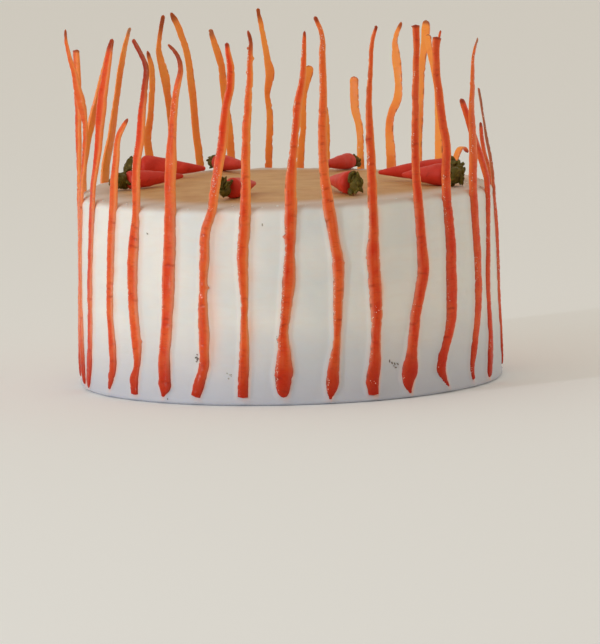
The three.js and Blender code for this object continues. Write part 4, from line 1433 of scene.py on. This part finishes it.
@dataclass
class Crumbs:
    """Crumbs on the cake: flecks of icing along the rim, and a few brown and pale specks in the side.

    flecks: How many flecks there are.
    brown_specks, pale_specks: The azimuths in degrees and the heights of the specks.
    """

    cake: IcedCake
    flecks: int = 50
    brown_specks: tuple[tuple[float, float], ...] = (
        (-25.7, 25.3), (-26.0, 21.8), (-25.4, 23.4), (-26.1, 23.9), (-25.8, 22.7), (27.1, 19.6),
        (29.5, 17.7), (28.3, 16.9), (27.8, 18.4), (28.9, 16.0), (28.6, 17.9), (-35.2, 2.5), (-3.6, 34.7),
        (-3.4, 33.4), (-3.3, 31.9), (118, 30), (119, 28), (203, 21), (204.5, 22))
    pale_specks: tuple[tuple[float, float], ...] = (
        (-17.2, 16.2), (-16.1, 14.7), (-16.8, 13.6), (-16.4, 15.6), (-6.8, 90.3), (-41.9, 84.7), (63, 47),
        (165, 62), (262, 35))

    def on_side(self, spots: tuple[tuple[float, float], ...]) -> tuple[np.ndarray, np.ndarray]:
        """Places on the side and the ways out of it.

        Args:
            spots: Their azimuths in degrees, and their heights.

        Returns:
            The places and the ways out, one row each.
        """
        turn, height = np.array(spots).T
        turn = np.radians(turn)
        outs = outward(turn)
        pushed, _ = self.cake.beside_strips(turn, height)
        radius = self.cake.form.side_radius(turn, height) + pushed
        return outs * radius[:, None] + np.array([0, 0, 1]) * height[:, None], outs

    def build(self) -> None:
        """Makes the specks and the flecks."""
        form = self.cake.form
        specks = Scatter(smallest=0.3, largest=0.7, tumble=0.5, seed=11)
        flake = round_lump(0.5, (1.5, 0.7))
        for name, spots, finish in (("brown_specks", self.brown_specks, SPICE_SPECK),
                                    ("pale_specks", self.pale_specks, SOAKED_SPECK)):
            specks.build(name, *self.on_side(spots), flake, finish.material(), "icing")
        draw = np.random.default_rng(21)
        azimuth = draw.uniform(0, 2 * math.pi, self.flecks)
        # Most flecks lie close to the rim, and a few farther in.
        out = form.rim_radius - 1.2 - draw.gamma(1.2, 4.0, self.flecks)
        x, y = out * np.sin(azimuth), -out * np.cos(azimuth)
        z = [form.top_height(a, b) - 0.1 for a, b in zip(x, y)]
        past_flat = np.maximum(out - (form.rim_radius - form.rim_rounding), 0)
        drop = past_flat ** 2 / (2 * form.rim_rounding)
        places = np.stack([x, y, np.array(z) - drop], 1)
        ups = np.tile([0.0, 0.0, 1.0], (self.flecks, 1))
        flecks = Scatter(smallest=0.3, largest=0.95, tumble=0.9, seed=12)
        flecks.build("icing_flecks", places, ups, round_lump(0.7), ICING_CRUMB.material(), "icing")


# ---------------------------------------------------------- the sugar carrots


@dataclass(frozen=True)
class CarrotRow:
    """Where a sugar carrot's thick end and tip lie, and its largest radius.

    slim, aside: A factor on its tuft's breadth, and how far that sits to the right of the carrot's line.
    """

    thick: tuple[float, float]
    tip: tuple[float, float]
    radius: float
    slim: float = 1.0
    aside: float = 0.0


SUGAR_CARROTS = (
    CarrotRow((-76, 51), (-42, 47), 5.8),
    CarrotRow((-82, -3), (-53, 9), 4.8),
    CarrotRow((-28, -67), (-16, -40), 5.2, slim=0.62, aside=-1.6),
    CarrotRow((33, -68), (21, -35), 5.7, slim=0.66, aside=0.4),
    CarrotRow((82, -33), (59, -15), 5.6),
    CarrotRow((82, 1), (47, 0), 5.6),
    CarrotRow((34, 87), (19, 57), 4.2),
    CarrotRow((-36, 87), (-20, 57), 4.3),
)


@dataclass
class SugarCarrot:
    """One small carrot rolled from red paste, with a tuft of green paste leaves at its thick end.

    rings, sides, core_rings, core_sides: How finely the body and the tuft's core are divided.
    gap: The gap under the thick end, and between the body and the tuft.
    tip_radius, tip_raise: The tip's roundness, and how high it stands off the top.
    taper: How the body thins: above 1, it thins later.
    lumps: The depths of the coarse and the fine lumps that rolling leaves.
    leaves, leaf_long, leaf_wide: How many leaves there are, and their size as shares of the radius.
    core_long, core_wide, core_rough: The size and the lumps of the tuft's core, as shares of the radius.
    """

    number: int
    row: CarrotRow
    form: CakeForm
    rings: int = 40
    sides: int = 28
    core_rings: int = 12
    core_sides: int = 16
    gap: float = 0.3
    tip_radius: float = 1.1
    tip_raise: float = 4.4
    taper: float = 1.4
    lumps: tuple[float, float] = (0.4, 0.12)
    leaves: int = 17
    leaf_long: float = 0.75
    leaf_wide: float = 0.8
    core_long: float = 1.4
    core_wide: float = 0.78
    core_rough: float = 0.2

    def axis(self) -> tuple[np.ndarray, np.ndarray, float]:
        """Finds the line that the body lies along.

        Returns:
            The middle of the thick end, the direction to the tip, and the distance to it.
        """
        top = self.form.top_height
        start = np.array([*self.row.thick, top(*self.row.thick) + self.gap + self.row.radius])
        end = np.array([*self.row.tip, top(*self.row.tip) + self.tip_raise])
        return start, unit(end - start), float(np.linalg.norm(end - start))

    def sweep(self, start: np.ndarray, way: np.ndarray, along: np.ndarray, radius: np.ndarray,
              sides: int) -> np.ndarray:
        """Makes rings of points round an axis.

        Args:
            start: Where the axis starts.
            way: Its direction.
            along: How far along it each ring lies.
            radius: The radius of each ring.
            sides: How many points a ring has.

        Returns:
            The points, ring by ring.
        """
        side = unit(np.cross(way, [0.0, 0.0, 1.0]))
        up = np.cross(side, way)
        angle = np.arange(sides) * 2 * math.pi / sides
        circle = side[None, :] * np.cos(angle)[:, None] + up[None, :] * np.sin(angle)[:, None]
        return (start + way * along[:, None, None] + circle[None] * radius[:, None, None]).reshape(-1, 3)

    def body(self) -> Shell:
        """Rolls the body: a rounded shoulder, a long taper to a point, and the lumps that rolling leaves.

        Returns:
            The closed body.
        """
        start, way, length = self.axis()
        radius = self.row.radius
        shoulder = 0.5 * radius
        bend = np.linspace(0, math.pi / 2, 9)[:-1]
        straight = np.linspace(shoulder, length - self.tip_radius, self.rings)
        share = (straight - shoulder) / (straight[-1] - shoulder)
        nose = np.linspace(0, math.pi / 2, 7)[1:-1]
        along = np.concatenate([shoulder * (1 - np.cos(bend)) + 0.05, straight,
                                straight[-1] + self.tip_radius * np.sin(nose)])
        wide = np.concatenate([radius * (0.35 + 0.65 * np.sin(bend)),
                               radius + (self.tip_radius - radius) * share ** self.taper,
                               self.tip_radius * np.cos(nose)])
        points = self.sweep(start, way, along, wide, self.sides)
        coarse, fine = self.lumps
        lumps = coarse * noise(points, 7, 60 + self.number) + fine * noise(points, 2.4, 70 + self.number)
        core = (start + way * along[:, None]).repeat(self.sides, 0)
        strength = np.minimum(wide / radius, 1).repeat(self.sides)
        points = points + unit(points - core) * (lumps * strength + 0.1 * strength)[:, None]
        ends = np.array([start + way * 0.02, start + way * length])
        return Shell(np.vstack([points, ends]), tube_faces(len(along), self.sides))

    def tuft(self) -> tuple[Shell, np.ndarray, np.ndarray]:
        """Lays out the green tuft.

        Returns:
            Its core, and the places and directions of the leaves on it.
        """
        start, way, _ = self.axis()
        radius, draw = self.row.radius, np.random.default_rng(400 + self.number)
        turn = np.linspace(0.12, math.pi - 0.12, self.core_rings)
        half = self.core_long / 2
        along = -self.gap - radius * (half - half * np.cos(turn))
        wide = self.core_wide * radius * np.sin(turn) ** 0.7
        points = self.sweep(start, way, along, wide, self.core_sides)
        rough = self.core_rough * radius * noise(points, 2.2, 80 + self.number)
        points += rough[:, None] * unit(points - points.mean(0))
        ends = np.array([start - way * self.gap, start - way * (self.gap + self.core_long * radius)])
        core = Shell(np.vstack([points, ends]), tube_faces(len(along), self.core_sides))
        picks = draw.choice(len(points), self.leaves, replace=False)
        facing = unit(unit(points[picks] - (start - way * 0.3 * radius)) - 0.5 * way)
        return core, points[picks] - facing * 0.4 * radius, facing

    def build(self, red: bpy.types.Material, green: bpy.types.Material) -> None:
        """Makes the body and the tuft in place of their CAD nodes.

        Args:
            red: The body's finish.
            green: The tuft's finish.
        """
        body = self.body().mesh(f"rolled_carrot_{self.number}")
        hand_over(body, red, (f"sugar_carrot_{self.number}",))
        core, places, facing = self.tuft()
        scatter = Scatter(smallest=0.75, largest=1.2, tumble=0.45, seed=500 + self.number)
        leaf = Leaf(self.leaf_long * self.row.radius, self.leaf_wide * self.row.radius)
        leaves = scatter.mesh("leaves", places, facing, leaf.shell(), green)
        copies = np.zeros(len(leaves.vertices) * 3)
        leaves.vertices.foreach_get("co", copies)
        faces = [tuple(polygon.vertices) for polygon in leaves.polygons]
        whole = core.joined(Shell(copies.reshape(-1, 3) / MM, faces))
        bpy.data.meshes.remove(leaves)
        start, way, _ = self.axis()
        side = unit(np.cross(way, [0.0, 0.0, 1.0]))
        squeezed = (whole.points - start) @ side * (self.row.slim - 1) + self.row.aside
        whole.points = whole.points + side * squeezed[:, None]
        tuft = whole.mesh(f"leaf_tuft_{self.number}")
        hand_over(tuft, green, (f"carrot_top_{self.number}",))


# --------------------------------------------------------------------- studio


@dataclass
class Studio:
    """A pale floor, soft light from the left, and a camera with a long lens a little above the cake.

    Its sizes are metres, and its angles degrees.
    """

    floor_size: float = 40.0
    floor_colour: str = "#F4F6F7"
    room_colour: str = "#FAF1E2"
    window_colour: str = "#ECF5FF"
    camera_place: tuple[float, float, float] = (0.00493, -3.1176, 0.3974)
    elevation: float = 6.74
    roll: float = -1.53
    focal_pixels: float = 6113.18
    frame_height: float = 644.0
    sensor: float = 36.0
    ambient: float = 0.92
    overhead: float = 0.68
    towards_viewer: float = 0.4
    aim_height: float = 0.09

    def floor(self) -> None:
        """A wide matte floor."""
        half = self.floor_size / 2
        mesh = bpy.data.meshes.new("floor")
        corners = [(-half, -half, 0), (half, -half, 0), (half, half, 0), (-half, half, 0)]
        mesh.from_pydata(corners, [], [(0, 1, 2, 3)])
        floor = bpy.data.objects.new("floor", mesh)
        bpy.context.scene.collection.objects.link(floor)
        material, tree, shader = new_material("matte_paper_floor")
        fill(tree, shader, {
            "Base Color": srgb(self.floor_colour), "Roughness": 0.9, "Specular IOR Level": 0.1})
        mesh.materials.append(material)

    def sky(self) -> None:
        """Soft light from all round, weaker from above and from the dim room in front of the cake."""
        world = bpy.data.worlds.new("soft_room")
        world.use_nodes = True
        tree = world.node_tree
        tree.nodes.clear()
        way = add_node(tree, "ShaderNodeTexCoord").outputs["Generated"]
        parts = add_node(tree, "ShaderNodeSeparateXYZ", inputs={0: way})
        above = add_node(tree, "ShaderNodeMapRange", inputs={
            0: parts.outputs[2], "From Min": 0.15, "From Max": 0.9, "To Min": self.ambient,
            "To Max": self.overhead})
        front = add_node(tree, "ShaderNodeMapRange", inputs={
            0: parts.outputs[1], "From Min": -1.0, "From Max": -0.35, "To Min": self.towards_viewer,
            "To Max": 1.0})
        strength = add_node(tree, "ShaderNodeMath", {"operation": "MULTIPLY"}, {
            0: above.outputs[0], 1: front.outputs[0]})
        light = add_node(tree, "ShaderNodeBackground", inputs={
            "Color": srgb(self.room_colour), "Strength": strength.outputs[0]})
        add_node(tree, "ShaderNodeOutputWorld", inputs={"Surface": light.outputs[0]})
        bpy.context.scene.world = world

    def lamp(self, name: str, place: tuple[float, float, float], size: tuple[float, float],
             power: float) -> None:
        """Hangs a soft window that faces the cake's middle.

        Args:
            name: Its name.
            place: Where it hangs.
            size: Its width and height.
            power: Its power in watts.
        """
        data = bpy.data.lights.new(name, "AREA")
        data.shape = "RECTANGLE"
        data.size, data.size_y = size
        data.energy = power
        data.color = srgb(self.window_colour)[:3]
        lamp = bpy.data.objects.new(name, data)
        lamp.location = place
        towards = Vector((0, 0, self.aim_height)) - Vector(place)
        lamp.rotation_euler = towards.to_track_quat("-Z", "Y").to_euler()
        bpy.context.scene.collection.objects.link(lamp)

    def camera(self) -> None:
        """The camera, a little above the cake and slightly rolled."""
        tilt, roll = math.radians(self.elevation), math.radians(self.roll)
        forward = Vector((0, math.cos(tilt), -math.sin(tilt)))
        up = Vector((0, math.sin(tilt), math.cos(tilt)))
        right = Vector((math.cos(roll), 0, 0)) + up * math.sin(roll)
        upward = Vector((-math.sin(roll), 0, 0)) + up * math.cos(roll)
        data = bpy.data.cameras.new("camera")
        data.sensor_width = self.sensor
        data.lens = self.focal_pixels * self.sensor / self.frame_height
        data.clip_start, data.clip_end = 0.1, 100.0
        camera = bpy.data.objects.new("camera", data)
        turn = Matrix((right, upward, -forward)).transposed().to_4x4()
        camera.matrix_world = Matrix.Translation(self.camera_place) @ turn
        bpy.context.scene.collection.objects.link(camera)
        bpy.context.scene.camera = camera

    def build(self) -> None:
        """Sets up the floor, the light and the camera."""
        bpy.context.scene.view_settings.view_transform = "Standard"
        self.floor()
        self.sky()
        self.lamp("window_left", place=(-2.2, -1.3, 0.9), size=(1.6, 1.6), power=7.0)
        self.lamp("window_gap", place=(-2.0, -1.45, 0.6), size=(0.05, 1.1), power=16.0)
        self.camera()


def main() -> None:
    """Builds the cake, from its body outwards, and the studio round it."""
    logging.basicConfig(level=logging.INFO, format="%(name)s: %(message)s")
    form = CakeForm()
    fence = CarrotFence(form)
    cake = IcedCake(form, fence)
    cake.build()
    fence.build()
    red, green = RED_PASTE.material(), GREEN_PASTE.material()
    for number, row in enumerate(SUGAR_CARROTS, 1):
        SugarCarrot(number, row, form).build(red, green)
    Crumbs(cake).build()
    Studio().build()


if __name__ == "__main__":
    main()
